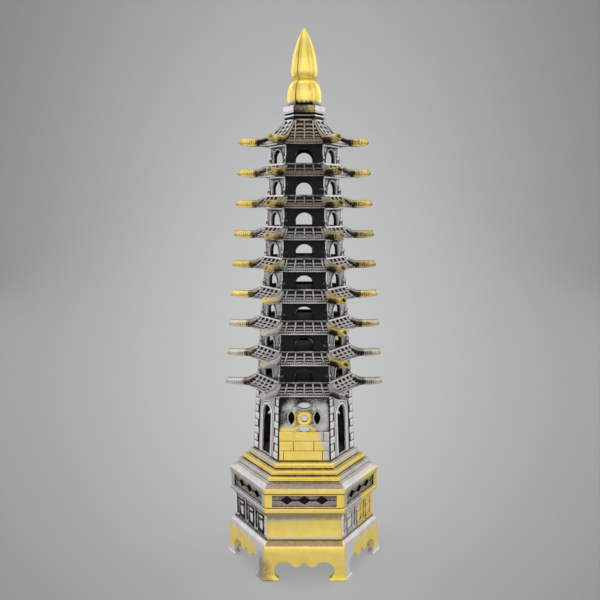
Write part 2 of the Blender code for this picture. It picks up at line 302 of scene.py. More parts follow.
def cooked(recipe, obj, sizes):
    """The object after a node recipe has worked on it with these sizes."""
    modifier = obj.modifiers.new(recipe.tree.name, "NODES")
    modifier.node_group = recipe.tree
    for label, value in sizes.items():
        modifier[recipe.identifiers[label]] = value
    return settled(obj)


def round_axis(kit, obj, count=6, start=0.0):
    """The object repeated round the axis."""
    return cooked(kit["round"], obj, {"Count": count, "Start": start, "Finish": kit["finish"]})


def from_points(kit, recipe, sizes):
    """What a recipe makes by itself, from its sizes alone."""
    return cooked(kit[recipe], solid(recipe, bmesh.new()), {**sizes, "Finish": kit["finish"]})


def places_of(mesh):
    """Where a mesh's points are, in millimetres."""
    points = np.empty(len(mesh.vertices) * 3, np.float32)
    mesh.vertices.foreach_get("co", points)
    return points.reshape(-1, 3) / MM


def joined(name, parts):
    """One object from pairs of an object and its black, with that kept on its points: black in its recesses
    and painted shade, and below zero polish and painted highlight.

    The black is a number, or a function that gives it for an array of places.
    """
    bm = bmesh.new()
    values = []
    for part, black in parts:
        bm.from_mesh(part.data)
        places = places_of(part.data)
        values.append(black(places) if callable(black) else np.full(len(places), black))
        bpy.data.objects.remove(part)
    mesh = bpy.data.meshes.new(name)
    bm.to_mesh(mesh)
    bm.free()
    layer = mesh.attributes.new("black", "FLOAT", "POINT")
    layer.data.foreach_set("value", np.concatenate(values).astype(np.float32))
    obj = bpy.data.objects.new(name, mesh)
    bpy.context.scene.collection.objects.link(obj)
    return obj


def loft(bm, loops, closed=True, caps=True):
    """Skins a row of loops of points."""
    rings = [[bm.verts.new(point) for point in loop] for loop in loops]
    count = len(rings[0])
    for a, b in zip(rings, rings[1:]):
        for k in range(count if closed else count - 1):
            m = (k + 1) % count
            bm.faces.new((a[k], a[m], b[m], b[k]))
    if closed and caps:
        bm.faces.new(rings[0])
        bm.faces.new(rings[-1])


def prism(bm, outline, near, far):
    """A prism on face 0: its outline is (along the face, height), from near to far off the axis."""
    loft(bm, [[(u, -near, z) for u, z in outline], [(u, -far, z) for u, z in outline]])


def slab(bm, left, right, low, high, near, far):
    prism(bm, [(left, low), (right, low), (right, high), (left, high)], near, far)


def arc(centre, radii, start, end, steps):
    points = []
    for i in range(steps + 1):
        angle = math.radians(start + (end - start) * i / steps)
        points.append((centre[0] + radii[0] * math.cos(angle), centre[1] + radii[1] * math.sin(angle)))
    return points


def arch_outline(half, foot, top, steps=20):
    return [(-half, foot), (half, foot), *arc((0, top - half), (half, half), 0, 180, steps)]


def softened(obj, width, segments=2, angle=30):
    bevel = obj.modifiers.new("Soft edges", "BEVEL")
    bevel.width = width * MM
    bevel.segments = segments
    bevel.limit_method = "ANGLE"
    bevel.angle_limit = math.radians(angle)
    bevel.use_clamp_overlap = True
    return settled(obj)


def carved(obj, cutter):
    modifier = obj.modifiers.new("Cut", "BOOLEAN")
    modifier.operation = "DIFFERENCE"
    modifier.solver = "EXACT"
    modifier.object = cutter
    settled(obj)
    bpy.data.objects.remove(cutter)
    return obj


def turned(name, profile, closed=True):
    """A hexagonal casting from an outline of (corner radius, height)."""
    bm = bmesh.new()
    loops = []
    for r, z in profile:
        loops.append([(r * math.cos(k * SIXTH), r * math.sin(k * SIXTH), z) for k in range(6)])
    if closed:
        loft(bm, [*loops, loops[0]], caps=False)
        bmesh.ops.remove_doubles(bm, verts=bm.verts, dist=0.001)
    else:
        loft(bm, loops)
    return solid(name, bm)


def make_round_recipe():
    recipe = Recipe("Repeat round the axis", {"Count": "count", "Start": "number", "Finish": "finish"})
    recipe.serve(recipe.repeat_round(recipe.mesh, recipe.size("Count"), recipe.size("Start")))
    return recipe


def roof_line(recipe, t):
    """Distance from the axis and height of a roof face, from its rim at 0 to its eave at 1."""
    rim, eave = recipe.size("Rim Distance"), recipe.size("Eave Distance")
    distance = rim + (eave - rim) * t
    height = recipe.size("Rim Height") - recipe.size("Drop") * (t + recipe.size("Sag") * t * (1.0 - t))
    return distance, height


ROOF_SIZES = {
    "Rim Distance": "number",
    "Eave Distance": "number",
    "Rim Height": "number",
    "Drop": "number",
    "Sag": "number",
    "Column Pitch": "number",
    "Column Fan": "number",
    "Courses": "count",
    "Finish": "finish",
}


def make_tile_recipe():
    """Courses of tiles on a concave roof face, each cut short where the face ends at a hip."""
    own_sizes = {
        "Columns": "count",
        "Rib Gap": "number",
        "Gap": "number",
        "Top Gap": "number",
        "Tile": "object",
    }
    recipe = Recipe("Lay tile courses", {**ROOF_SIZES, **own_sizes})
    columns, courses = recipe.size("Columns"), recipe.size("Courses")
    index = recipe.index()
    row = recipe.math("FLOOR", (index + 0.001) / columns)
    column = index - row * columns
    gap = recipe.size("Gap")
    gap = recipe.math("LESS_THAN", row, 0.5) * (recipe.size("Top Gap") - gap) + gap
    start, end = (row + gap) / courses, (row + 1.0) / courses
    near, high = roof_line(recipe, start)
    far, low = roof_line(recipe, end)
    middle = (start + end) * 0.5
    pitch = recipe.size("Column Pitch") * (recipe.size("Column Fan") * middle + 1.0)
    hip = (near + far) * (0.5 * SLANT)
    left = recipe.math("MAXIMUM", (column - columns * 0.5) * pitch, hip * -1.0)
    right = recipe.math("MINIMUM", (column + 1.0 - columns * 0.5) * pitch, hip)
    width = right - left - recipe.size("Rib Gap")
    run, drop = far - near, high - low
    length = recipe.math("SQRT", run * run + drop * drop)
    placed = recipe.moved(recipe.points(columns * courses), (left + right) * 0.5, near * -1.0, high)
    tile = recipe.node("GeometryNodeObjectInfo", {"Object": recipe.size("Tile")}, output="Geometry")
    laid = recipe.copies(
        placed,
        tile,
        Selection=recipe.math("GREATER_THAN", width, 0.5 * MM),
        Rotation=recipe.vector(recipe.math("ARCTAN2", drop, run), 0.0, 0.0),
        Scale=recipe.vector(width, length, MM),
    )
    recipe.serve_six(recipe.real(laid))
    return recipe


def make_rib_recipe():
    """Round ribs down a concave roof face, each starting at the rim or where it leaves the hip."""
    own_sizes = {"Ribs": "count", "Rib Radius": "number", "Steps": "count"}
    recipe = Recipe("Run tile ribs", {**ROOF_SIZES, **own_sizes})
    ribs = recipe.size("Ribs")
    line = recipe.node("GeometryNodeCurvePrimitiveLine")
    line = recipe.node("GeometryNodeResampleCurve", {"Curve": line, "Count": recipe.size("Steps")})
    copies = recipe.copies(recipe.points(ribs), line)
    copies = recipe.stored(copies, "rib", recipe.index() - (ribs - 1.0) * 0.5, "INSTANCE")
    number = recipe.node("GeometryNodeInputNamedAttribute", {"Name": "rib"}, data_type="FLOAT")
    across = number * recipe.size("Column Pitch")
    rim, eave = recipe.size("Rim Distance"), recipe.size("Eave Distance")
    hip_start = (recipe.math("ABSOLUTE", across) / SLANT - rim) / (eave - rim)
    hip_start = recipe.math("MINIMUM", recipe.math("MAXIMUM", hip_start, 0.0), 0.98)
    t = hip_start + (1.0 - hip_start) * recipe.node("GeometryNodeSplineParameter", output="Factor")
    distance, height = roof_line(recipe, t)
    fan = recipe.size("Column Fan") * t + 1.0
    placed = recipe.moved(recipe.real(copies), across * fan, distance * -1.0, height)
    inputs = {"Resolution": 10, "Radius": recipe.size("Rib Radius")}
    circle = recipe.node("GeometryNodeCurvePrimitiveCircle", inputs)
    inputs = {"Curve": placed, "Profile Curve": circle, "Fill Caps": True}
    bars = recipe.node("GeometryNodeCurveToMesh", inputs)
    recipe.serve_six(bars)
    return recipe


def make_bead_recipe():
    """A row of small round drip ends along each swept eave."""
    sizes = {"Beads": "count"}
    sizes.update(dict.fromkeys(("Distance", "Height", "Sweep", "Lift", "Bead Radius"), "number"))
    recipe = Recipe("Set drip beads", {**sizes, "Finish": "finish"})
    beads = recipe.size("Beads")
    share = (recipe.index() + 0.5) / beads * 2.0 - 1.0
    bent = recipe.math("POWER", recipe.math("ABSOLUTE", share), 5.0)
    distance = recipe.size("Distance") + recipe.size("Sweep") * bent
    height = recipe.size("Height") + recipe.size("Lift") * bent
    placed = recipe.moved(recipe.points(beads), share * distance * SLANT, distance * -1.0, height)
    bead = recipe.node("GeometryNodeMeshIcoSphere", {"Radius": recipe.size("Bead Radius"), "Subdivisions": 2})
    recipe.serve_six(recipe.real(recipe.copies(placed, bead)))
    return recipe


def make_patina_and_shade_recipe(rays=20):
    """Stores how enclosed each point of the casting is, for the black in recesses: patina in the hollows and
    painted occlusion shade, which also darkens walls under the eaves.
    """
    recipe = Recipe("Settle soot", {"Reach": "number", "Finish": "finish"})

    def vector_math(operation, a, b, output=0):
        return recipe.node("ShaderNodeVectorMath", {0: a, 1: b}, output=output, operation=operation)

    normal = recipe.node("GeometryNodeInputNormal")
    lifted = vector_math("MULTIPLY", normal, (0.04 * MM,) * 3)
    origin = vector_math("ADD", recipe.node("GeometryNodeInputPosition"), lifted)
    cast = {"Target Geometry": recipe.mesh, "Source Position": origin, "Ray Length": recipe.size("Reach")}
    met = total = None
    for i in range(rays):
        up = 1 - (2 * i + 1) / rays
        turn = i * math.pi * (3 - math.sqrt(5))
        level = math.sqrt(1 - up * up)
        way = (level * math.cos(turn), level * math.sin(turn), up)
        weight = recipe.math("MAXIMUM", vector_math("DOT_PRODUCT", normal, way, "Value"), 0.0)
        hit = recipe.node("GeometryNodeRaycast", {**cast, "Ray Direction": way}, output="Is Hit")
        share = hit * weight
        met = share if met is None else met + share
        total = weight if total is None else total + weight
    soot = recipe.node("GeometryNodeBlurAttribute", {0: met / total, "Iterations": 2}, data_type="FLOAT")
    recipe.serve(recipe.stored(recipe.mesh, "soot", soot, "POINT"))
    return recipe


def make_tile():
    """One tile, a unit wide and long, down the slope along -Y, with a raised lower lip.

    Its height is in millimetres.
    """
    bm = bmesh.new()
    steps = 8
    loops = []
    for i in range(steps + 1):
        x = i / steps - 0.5
        crown = 0.14 * (1 - (2 * x) ** 2)
        edge = 0.1 * abs(2 * x) ** 3
        section = [
            (x, 0, -0.75),
            (x, -0.02, -0.5 + crown - edge),
            (x, -0.3, -0.28 + crown - edge),
            (x, -0.6, 0.0 + crown - edge),
            (x, -0.84, 0.17 + crown - edge),
            (x, -0.96, 0.14 + crown - edge),
            (x, -1, -0.02 + crown - edge),
            (x, -0.97, -0.75),
        ]
        loops.append(section)
    loft(bm, loops)
    tile = solid("tile", bm)
    tile.data.transform(Matrix.Scale(1 / MM, 4))
    tile.hide_render = True
    return tile


def smooth_steps(stations, count):
    """Points along a smooth line through stations of several numbers each."""
    stations = np.array(stations, float)
    padded = np.vstack([2 * stations[0] - stations[1], stations, 2 * stations[-1] - stations[-2]])
    points = []
    for share in np.linspace(0, len(stations) - 1, count):
        i = min(int(share), len(stations) - 2)
        t = share - i
        a, b, c, d = padded[i : i + 4]
        curve = (2 * a - 5 * b + 4 * c - d) * t**2 + (3 * b - a - 3 * c + d) * t**3
        points.append(0.5 * (2 * b + (c - a) * t + curve))
    return np.array(points)


def horn_stations(storey):
    """A hip ridge and its horn, as (radius, height, half width, half height) from the rim to the tip."""
    z, edge, tip = eave_z(storey), eave_r(storey), horn_r(storey)
    if storey == STOREYS:
        rim = TOP_ROOF_R
        run = edge - rim
        head = [
            (rim - 0.3, z + 11.0, 0.6, 0.6),
            (rim + 0.28 * run, z + 7.1, 0.85, 0.8),
            (rim + 0.6 * run, z + 3.8, 1.25, 1.2),
            (rim + 0.85 * run, z + 2.4, 1.65, 1.6),
        ]
    else:
        rim = wall_r(storey + 1) + RIM_OVERHANG
        run = edge - rim
        head = [
            (rim - 0.3, z + 4.45, 1.15, 1.25),
            (rim + 0.35 * run, z + 3.3, 1.5, 1.5),
            (rim + 0.75 * run, z + 2.3, 1.75, 1.75),
        ]
    reach = tip - edge
    return head + [
        (edge + 0.3, z + 1.95, 1.95, 1.8),
        (edge + 0.45 * reach, z + 1.95, 1.9, 1.8),
        (edge + 0.85 * reach, z + 2.35, 1.6, 1.6),
        (tip - 0.75, z + 2.52, HORN_END_HALF, HORN_END_HALF),
    ]


def make_horns(storey):
    """A hip ridge that sweeps out past the eave as a horn with grooved sides and a ringed, dimpled end."""
    edge, tip = eave_r(storey), horn_r(storey)
    line = smooth_steps(horn_stations(storey), 400)
    steps = np.hypot(np.diff(line[:, 0]), np.diff(line[:, 1]))
    reached = np.concatenate([[0], np.cumsum(steps)])
    stops = np.linspace(0, reached[-1], int(reached[-1] / HORN_STEP))
    line = np.array([np.interp(stops, reached, line[:, k]) for k in range(4)]).T
    loops = []
    for i, (r, height, half_width, half_height) in enumerate(line):
        before, after = line[max(i - 1, 0)], line[min(i + 1, len(line) - 1)]
        tangent = Vector((after[0] - before[0], 0, after[1] - before[1])).normalized()
        up = Vector((-tangent.z, 0, tangent.x))
        outer = float(smoothstep(edge - 0.5, edge + 1.5, r))
        plain_end = float(smoothstep(tip - 1.1, tip - 1.8, r))
        groove = HORN_GROOVE_DEPTH * outer * plain_end * math.cos(2 * math.pi * r / HORN_GROOVE)
        place = Vector((r, 0, height))
        loops.append(horn_section(place, up, half_width, half_height, groove, HORN_FILLET * plain_end))
    for forward, width in HORN_END:
        half = HORN_END_HALF * width
        loops.append(horn_section(place + tangent * forward, up, half, half, 0, 0))
    bm = bmesh.new()
    loft(bm, loops)
    return solid("horn", bm)


def horn_section(place, up, half_width, half_height, groove, fillet):
    """A full oval section with a raised fillet along each of its four shoulders and grooved sides."""
    right = []
    for angle in HORN_ANGLES:
        side, rise = math.cos(math.radians(angle)), math.sin(math.radians(angle))
        raised = fillet * math.exp(-(((abs(angle) - 46) / 6.5) ** 2))
        raised += groove * float(smoothstep(36, 24, abs(angle)))
        across = abs(side) ** 0.8 * half_width + side * raised
        above = math.copysign(abs(rise) ** 0.85, rise) * half_height + rise * raised
        right.append((across, above))
    left = [(-across, above) for across, above in right[-2:0:-1]]
    return [place + Vector((0, across, 0)) + up * above for across, above in right + left]


def roof_skin(name, section, sweeps):
    """A roof casting's body: each point of its section runs along the face, swept out near the hips.

    The section is (distance off the axis, height), closed, and sweeps gives each point's share.
    """
    bm = bmesh.new()
    loops = []
    for x in np.linspace(-1, 1, 33):
        loop = []
        for (distance, z), share in zip(section, sweeps):
            d = distance + share * EAVE_SWEEP * abs(x) ** 5
            loop.append((x * d * SLANT, -d, z + share * EAVE_LIFT * abs(x) ** 5))
        loops.append(loop)
    loft(bm, loops, caps=False)
    return solid(name, bm)


def tile_line(storey):
    """The line of a roof's tiles: distance off the axis and height at its rim, then at its foot."""
    high = rim_z(storey) - (TOP_TILE_HEAD_DROP if storey == STOREYS else TILE_HEAD_DROP)
    return rim_flat(storey), high, eave_r(storey) * FLAT - TILE_FOOT_INSET, eave_z(storey) + TILE_FOOT_Z


def tile_height(high, low, t):
    """Height of that line, from its rim at 0 to its foot at 1."""
    return high - (high - low) * (t + SAG * t * (1 - t))


def bore_flat(storey):
    """Distance from the axis to a flat side of the hole in a roof casting."""
    return 0.5 if storey == STOREYS else (wall_r(storey + 1) + 0.3) * FLAT


def roof_section(storey):
    """A roof casting's section, and the share of the eave's sweep that each of its points takes."""
    z, rim_top, inner = eave_z(storey), rim_z(storey), bore_flat(storey)
    rim, high, foot, low = tile_line(storey)
    eave = eave_r(storey) * FLAT
    under = [(inner, z + SOFFIT_RISE), ((wall_r(storey) + 0.5) * FLAT, z + SOFFIT_RISE)]
    edge = [
        (eave - 0.5, z + 0.02),
        (eave - 0.1, z + 0.1),
        (eave, z + 0.28),
        (eave, z + 0.42),
        (eave - 0.1, z + 0.58),
        (eave - 0.42, z + 0.64),
    ]
    slope = []
    for t in np.linspace(0, 1, 9)[::-1]:
        slope.append((rim + (foot - rim) * t, tile_height(high, low, t) - DECK_SUNK))
    if storey == STOREYS:
        head = [(rim, rim_top - 0.5), (rim, rim_top), (inner, rim_top)]
    else:
        head = [
            (rim + 0.05, rim_top - 0.95),
            (rim + 0.3, rim_top - 0.82),
            (rim + 0.36, rim_top - 0.42),
            (rim + 0.26, rim_top - 0.1),
            (rim, rim_top),
            (inner, rim_top),
            (inner, rim_top - 1.0),
        ]
    sweeps = [0.0] * len(under) + [1.0] * len(edge)
    sweeps += [max(0.0, 1 - k / 5) for k in range(len(slope))] + [0.0] * len(head)
    return [*under, *edge, *slope, *head], sweeps


def lay_tiles(storey, kit, tile):
    """The tile courses of a roof, and the round ribs between their columns."""
    top_roof = storey == STOREYS
    rim, high, foot, low = tile_line(storey)
    sizes = {
        "Rim Distance": rim * MM,
        "Eave Distance": foot * MM,
        "Rim Height": high * MM,
        "Drop": (high - low) * MM,
        "Sag": SAG,
        "Column Pitch": COLUMN_PITCH * MM,
        "Column Fan": COLUMN_FAN,
        "Courses": 7 if top_roof else 3,
    }
    tile_sizes = {
        "Columns": COLUMNS,
        "Rib Gap": 0.5 * MM,
        "Gap": 0.2 if top_roof else 0.22,
        "Top Gap": 0.22 if top_roof else 0.42,
        "Tile": tile,
    }
    tiles = from_points(kit, "tiles", {**sizes, **tile_sizes})
    ribs = from_points(kit, "ribs", {**sizes, "Ribs": COLUMNS - 1, "Rib Radius": 0.36 * MM, "Steps": 12})
    return tiles, ribs


def set_beads(storey, kit):
    eave = eave_r(storey) * FLAT
    sizes = {
        "Beads": int(2 * eave * SLANT / BEAD_PITCH),
        "Distance": (eave - 0.3) * MM,
        "Height": (eave_z(storey) + 0.84) * MM,
        "Sweep": EAVE_SWEEP * MM,
        "Lift": EAVE_LIFT * MM,
        "Bead Radius": 0.27 * MM,
    }
    return from_points(kit, "beads", sizes)


def make_roof(storey, kit, tile):
    """A roof casting: its body and floor, then the tiles, ribs, beads and horns on it."""
    skin = round_axis(kit, roof_skin("skin", *roof_section(storey)))
    parts = [(skin, lambda points: deck_shade(storey, points))]
    if storey < STOREYS:
        corner = bore_flat(storey) / FLAT + 0.02
        # Painted shade: the floor inside the roof is blackened
        parts.append((plate("floor", corner, eave_z(storey) + SOFFIT_RISE, rim_z(storey) - 1.0), 0.6))
    tiles, ribs = lay_tiles(storey, kit, tile)
    horns = round_axis(kit, make_horns(storey))
    parts.append((tiles, lambda points: tile_shade_and_highlight(storey, points)))
    parts += [(ribs, -0.35), (set_beads(storey, kit), 0.1)]
    parts.append((horns, lambda points: horn_shade_and_highlight(storey, points)))
    return joined(f"tiled_roof_{storey}", parts)


def plate(name, r, foot, top):
    return turned(name, [(r, foot), (r, top)], closed=False)


def make_upper_wall(storey, kit):
    """A storey's wall with six arches, each with a moulded head between corner columns."""
    r = wall_r(storey) - 0.3
    sill = rim_z(storey - 1)
    foot, top = sill - 0.7, eave_z(storey) + SOFFIT_RISE - 0.3
    inner = r - WALL_THICK / FLAT
    wall = turned("wall", [(r, foot), (r, top), (inner, top), (inner, foot)])
    bm = bmesh.new()
    prism(bm, arch_outline(ARCH_HALF, sill, sill + ARCH_HEIGHT), r * FLAT - 3, r * FLAT + 2)
    carved(wall, round_axis(kit, solid("cutter", bm)))
    softened(wall, 0.12)
    trim = softened(round_axis(kit, arch_trim(r, sill, foot, top)), 0.1, angle=40)
    lines = round_axis(kit, arch_lines(r, sill))
    low = top - 0.75
    profile = [(r + 0.35, low), (r + 0.45, top - 0.1), (r + 0.45, top), (r - 0.2, top), (r - 0.2, low)]
    head = softened(turned("head", profile), 0.1)
    return joined(f"arched_wall_{storey}", [(wall, 0.1), (trim, -0.15), (head, -0.1), (lines, 1.2)])


def arch_trim(r, sill, foot, top):
    """The moulding round an arch's head, its jambs and the corner columns, on one face."""
    flat = r * FLAT
    spring = sill + ARCH_HEIGHT - ARCH_HALF
    bm = bmesh.new()
    moulding(bm, arc((0, spring), (ARCH_HALF + 0.38, ARCH_HALF + 0.38), 0, 180, 20), flat, 0.6, 0.4)
    for side in (-1, 1):
        corner_column(bm, side, flat, foot + 0.5, spring + 0.1, 1.5, 0.34)
        corner_column(bm, side, flat, spring - 0.15, spring + 0.75, 2.1, 0.5)
        corner_column(bm, side, flat, spring + 0.75, top - 0.05, 1.15, 0.22)
        corner_column(bm, side, flat, sill - 0.05, sill + 0.6, 1.9, 0.42)
        jamb = side * (ARCH_HALF + 0.08), side * (ARCH_HALF + 0.78)
        slab(bm, *jamb, sill, spring, flat - 0.2, flat + 0.3)
    return solid("trim", bm)


def arch_lines(r, sill):
    """Thin strips beside an arch's trim that are black, as the joints round it are."""
    flat = r * FLAT
    spring = sill + ARCH_HEIGHT - ARCH_HALF
    column = r / 2 - 1.5
    bm = bmesh.new()
    moulding(bm, arc((0, spring), (ARCH_HALF + 0.95, ARCH_HALF + 0.95), 0, 180, 20), flat, 0.6, 0.1)
    for side in (-1, 1):
        slab(bm, side * (column - 0.5), side * column, sill + 0.1, spring + 0.6, flat - 0.2, flat + 0.06)
    return solid("lines", bm)


def moulding(bm, path, flat, width, height):
    """A rounded strip that follows a path of (along the face, height) points on face 0."""
    loops = []
    count = len(path)
    for i, (u, z) in enumerate(path):
        before, after = path[max(i - 1, 0)], path[min(i + 1, count - 1)]
        along = Vector((after[0] - before[0], after[1] - before[1])).normalized()
        across = Vector((-along.y, along.x))
        loop = []
        for share, rise in MOULDING:
            shift = across * share * width
            loop.append((u + shift.x, -(flat + rise * height), z + shift.y))
        loops.append(loop)
    loft(bm, loops)


def corner_column(bm, side, flat, foot, top, width, height):
    """Half of an upright that wraps a corner: its outer edge lies on the corner's plane."""
    loops = []
    for z in (foot, top):
        inner = side * (flat * SLANT - width)
        loop = [(inner, -(flat - 0.2), z)]
        for share in (0, 0.25, 0.6, 1):
            rise = flat + height * math.sin(math.radians(25 + 65 * share))
            edge = side * rise * SLANT
            loop.append((inner + (edge - inner) * share, -rise, z))
        loop.append((side * (flat - 0.2) * SLANT, -(flat - 0.2), z))
        loops.append(loop)
    loft(bm, loops)


def ground_flat(z):
    """Distance from the axis to the tapered ground storey's wall face."""
    foot = FLOOR_Z + SEAM_GAP
    share = (z - foot) / (eave_z(1) + GROUND_HEAD_LIFT - foot)
    return (GROUND_FOOT_R + (GROUND_HEAD_R - GROUND_FOOT_R) * share) * FLAT


def on_ground_wall(bm):
    """Moves points laid out as (along, minus height off the face, z) out to the tapered wall."""
    for vert in bm.verts:
        vert.co.y -= ground_flat(vert.co.z)


def petal_outline(centre, upright, half, half_width, steps=10):
    radius = (half**2 + half_width**2) / (2 * half_width)
    sweep = math.degrees(math.asin(half / radius))
    offset = radius - half_width
    points = arc((0, -offset), (radius, radius), 90 - sweep, 90 + sweep, steps)[:-1]
    points += arc((0, offset), (radius, radius), 270 - sweep, 270 + sweep, steps)[:-1]
    if upright:
        points = [(-v, u) for u, v in points]
    return [(centre[0] + u, centre[1] + v) for u, v in points]


def make_ground_wall(kit):
    """The ground storey, with its doorways and windows cut through and each face's dressing on it."""
    top = eave_z(1) + GROUND_HEAD_LIFT
    thick = WALL_THICK / FLAT
    low = FLOOR_Z + SEAM_GAP
    outside = [(GROUND_FOOT_R, low), (GROUND_HEAD_R, top)]
    inside = [(r - thick, z) for r, z in reversed(outside)]
    wall = turned("wall", outside + inside)
    bm = bmesh.new()
    prism(bm, arch_outline(DOOR_HALF, FLOOR_Z + 0.9, DOOR_TOP_Z), CUT_NEAR, CUT_FAR)
    carved(wall, round_axis(kit, solid("doors", bm), 3, SIXTH))
    bm = bmesh.new()
    prism(bm, arc((0, WINDOW_Z), (WINDOW_EYE_R, WINDOW_EYE_R), 0, 345, 23), CUT_NEAR, CUT_FAR)
    for (u, z), upright in PETALS:
        petal = petal_outline((u, WINDOW_Z + z), upright, PETAL_HALF, PETAL_HALF_WIDTH)
        prism(bm, petal, CUT_NEAR, CUT_FAR)
    carved(wall, round_axis(kit, solid("windows", bm), 3))
    softened(wall, 0.12)
    windows = softened(round_axis(kit, window_face(), 3), 0.1, angle=40)
    doors = softened(round_axis(kit, door_face(), 3, SIXTH), 0.1, angle=40)
    r = GROUND_HEAD_R
    low = top - 0.9
    profile = [(r + 0.5, low), (r + 0.6, top - 0.1), (r + 0.6, top), (r - 0.2, top), (r - 0.2, low)]
    head = softened(turned("head", profile), 0.1)
    joints = round_axis(kit, window_joints(), 3)
    gaps = round_axis(kit, door_joints(), 3, SIXTH)
    # The doorways' dressing is polished bright, partly as painted highlight
    parts = [(wall, 0.0), (windows, 0.0), (doors, -0.6), (head, 0.1), (joints, 1.2), (gaps, 1.2)]
    return joined("ground_storey", parts)


def block(bm, left, right, low, high, rise, inset):
    """A raised stone on a wall face, with a joint's width left round it."""
    slab(bm, left + inset, right - inset, low + inset, high - inset, -0.3, rise)


def window_joints():
    """A thin plate behind the courses, which shows black in their joints."""
    bm = bmesh.new()
    half = WINDOW_HALF - 0.1
    slab(bm, -half, half, COURSES[0] + 0.1, COURSES[-1] - 0.1, -0.3, 0.08)
    on_ground_wall(bm)
    return solid("window_joints", bm)


def door_path(half, arch_r, stops):
    """Points up one side of a doorway, over its arch and down the other side."""
    up = [(half, z) for z in (*stops, DOOR_SPRING_Z)]
    over = arc((0, DOOR_SPRING_Z), (arch_r, arch_r), 8, 172, 22)
    return [*up, *over, *[(-u, z) for u, z in reversed(up)]]


def door_joints():
    """Thin plates behind the corner stones and round the doorway's moulding."""
    bm = bmesh.new()
    for side in (-1, 1):
        low, high = FLOOR_Z + 0.6, QUOIN_JOINT_TOP_Z
        foot, head = (side * (ground_flat(z) * SLANT + 0.2) for z in (low, high))
        prism(bm, [(side * 7.45, low), (foot, low), (head, high), (side * 7.45, high)], -0.3, 0.28)
    moulding(bm, door_path(5.7, 5.65, (FLOOR_Z + 0.5, 62)), 0, 0.35, 0.12)
    on_ground_wall(bm)
    return solid("door_joints", bm)


def window_face():
    """The courses, ring and petal rims of a face with a pierced window."""
    bm = bmesh.new()
    for (low, high), joints in zip(zip(COURSES, COURSES[1:]), COURSE_JOINTS):
        edges = [-WINDOW_HALF, *joints, WINDOW_HALF]
        for left, right in zip(edges, edges[1:]):
            block(bm, left, right, low, high, 0.34, 0.13)
    moulding(bm, arc((0, WINDOW_Z), (WINDOW_RING_R, WINDOW_RING_R), 0, 360, 28), 0, 1.65, 0.75)
    for (u, z), upright in PETALS[:1] + PETALS[2:]:
        rim = petal_outline((u, WINDOW_Z + z), upright, PETAL_HALF + 0.45, PETAL_HALF_WIDTH + 0.36)
        moulding(bm, [*rim, rim[0]], 0, 0.66, 0.5)
    moulding(bm, arc((0, ARCH_FOOT_Z), ARCH_RADII, -8, 190, 24), 0, 1.0, 0.7)
    curl = arc((-3.6, 64.9), (0.9, 0.8), 110, 330, 10)
    moulding(bm, curl, 0.2, 0.9, 0.5)
    for side, start in ((-1, 135), (1, 45)):
        eye = arc((side * 4.2, WINDOW_Z + 4.3), (1.5, 1.5), start, start + 360, 12)
        moulding(bm, eye, 0, 0.4, 0.3)
    on_ground_wall(bm)
    return solid("window_dressing", bm)


def door_face():
    """The surround and toothed corner stones of a face with a doorway."""
    bm = bmesh.new()
    foot = FLOOR_Z + 0.4
    path = door_path(4.85, 4.85, (foot, 60, 66))
    moulding(bm, path, 0, 1.1, 0.55)
    outer = [(u * 1.29, foot + (z - FLOOR_Z - 0.4) * 1.05) for u, z in path]
    moulding(bm, outer, 0, 0.5, 0.3)
    for side in (-1, 1):
        z = FLOOR_Z + 0.5
        for number in range(QUOINS):
            inner = 8.6 if number % 2 else 7.6
            edges = sorted((side * inner, side * (ground_flat(z + QUOIN_HEIGHT) * SLANT + 0.1)))
            block(bm, *edges, z, z + QUOIN_HEIGHT, 0.42, 0.25)
            z += QUOIN_HEIGHT
    on_ground_wall(bm)
    return solid("door_dressing", bm)


def make_step(index):
    """A moulded step with a rolled nosing over a hollow."""
    below = (CAP_TOP, *STEP_TOPS)[index] + 0.3
    top = STEP_TOPS[index]
    r = STEP_RADII[index]
    above = (*STEP_RADII, GROUND_FOOT_R + 0.2)[index + 1]
    nose = (top - below) * 0.62
    inner = above - 3.4
    profile = [(r - 0.1, below), (r, below + 0.12), (r - 0.05, below + 0.4)]
    for a in np.linspace(-1.4, 1.5, 7):
        profile.append((r - 0.28 + 0.28 * math.cos(a), below + 0.5 + nose * (0.5 + 0.5 * math.sin(a))))
    profile += [(above + 0.75, top - 0.22), (above + 0.35, top - 0.02)]
    profile += [(above + 0.1, top), (above - 0.6, top)]
    if index < 2:
        step = turned("step", [*profile, (inner, top), (inner, below)])
    else:
        step = turned("step", profile, closed=False)
    softened(step, 0.16, angle=25)
    return joined(STEP_NAMES[index], [(step, 0.0)])


def make_cap():
    low = FRIEZE_TOP + 0.3
    inner = STEP_RADII[0] - 4
    profile = [
        (CAP_R - 0.5, low),
        (CAP_R - 0.05, low + 0.25),
        (CAP_R, low + 0.5),
        (CAP_R, CAP_FASCIA_TOP - 0.35),
        (CAP_R - 0.15, CAP_FASCIA_TOP),
        (STEP_RADII[0] + 1.2, CAP_TOP - 0.45),
        (STEP_RADII[0] + 0.4, CAP_TOP - 0.3),
        (STEP_RADII[0] + 0.2, CAP_TOP),
        (inner, CAP_TOP),
        (inner, low),
    ]
    return joined("sloped_cap", [(softened(turned("cap", profile), 0.18, angle=25), 0.0)])


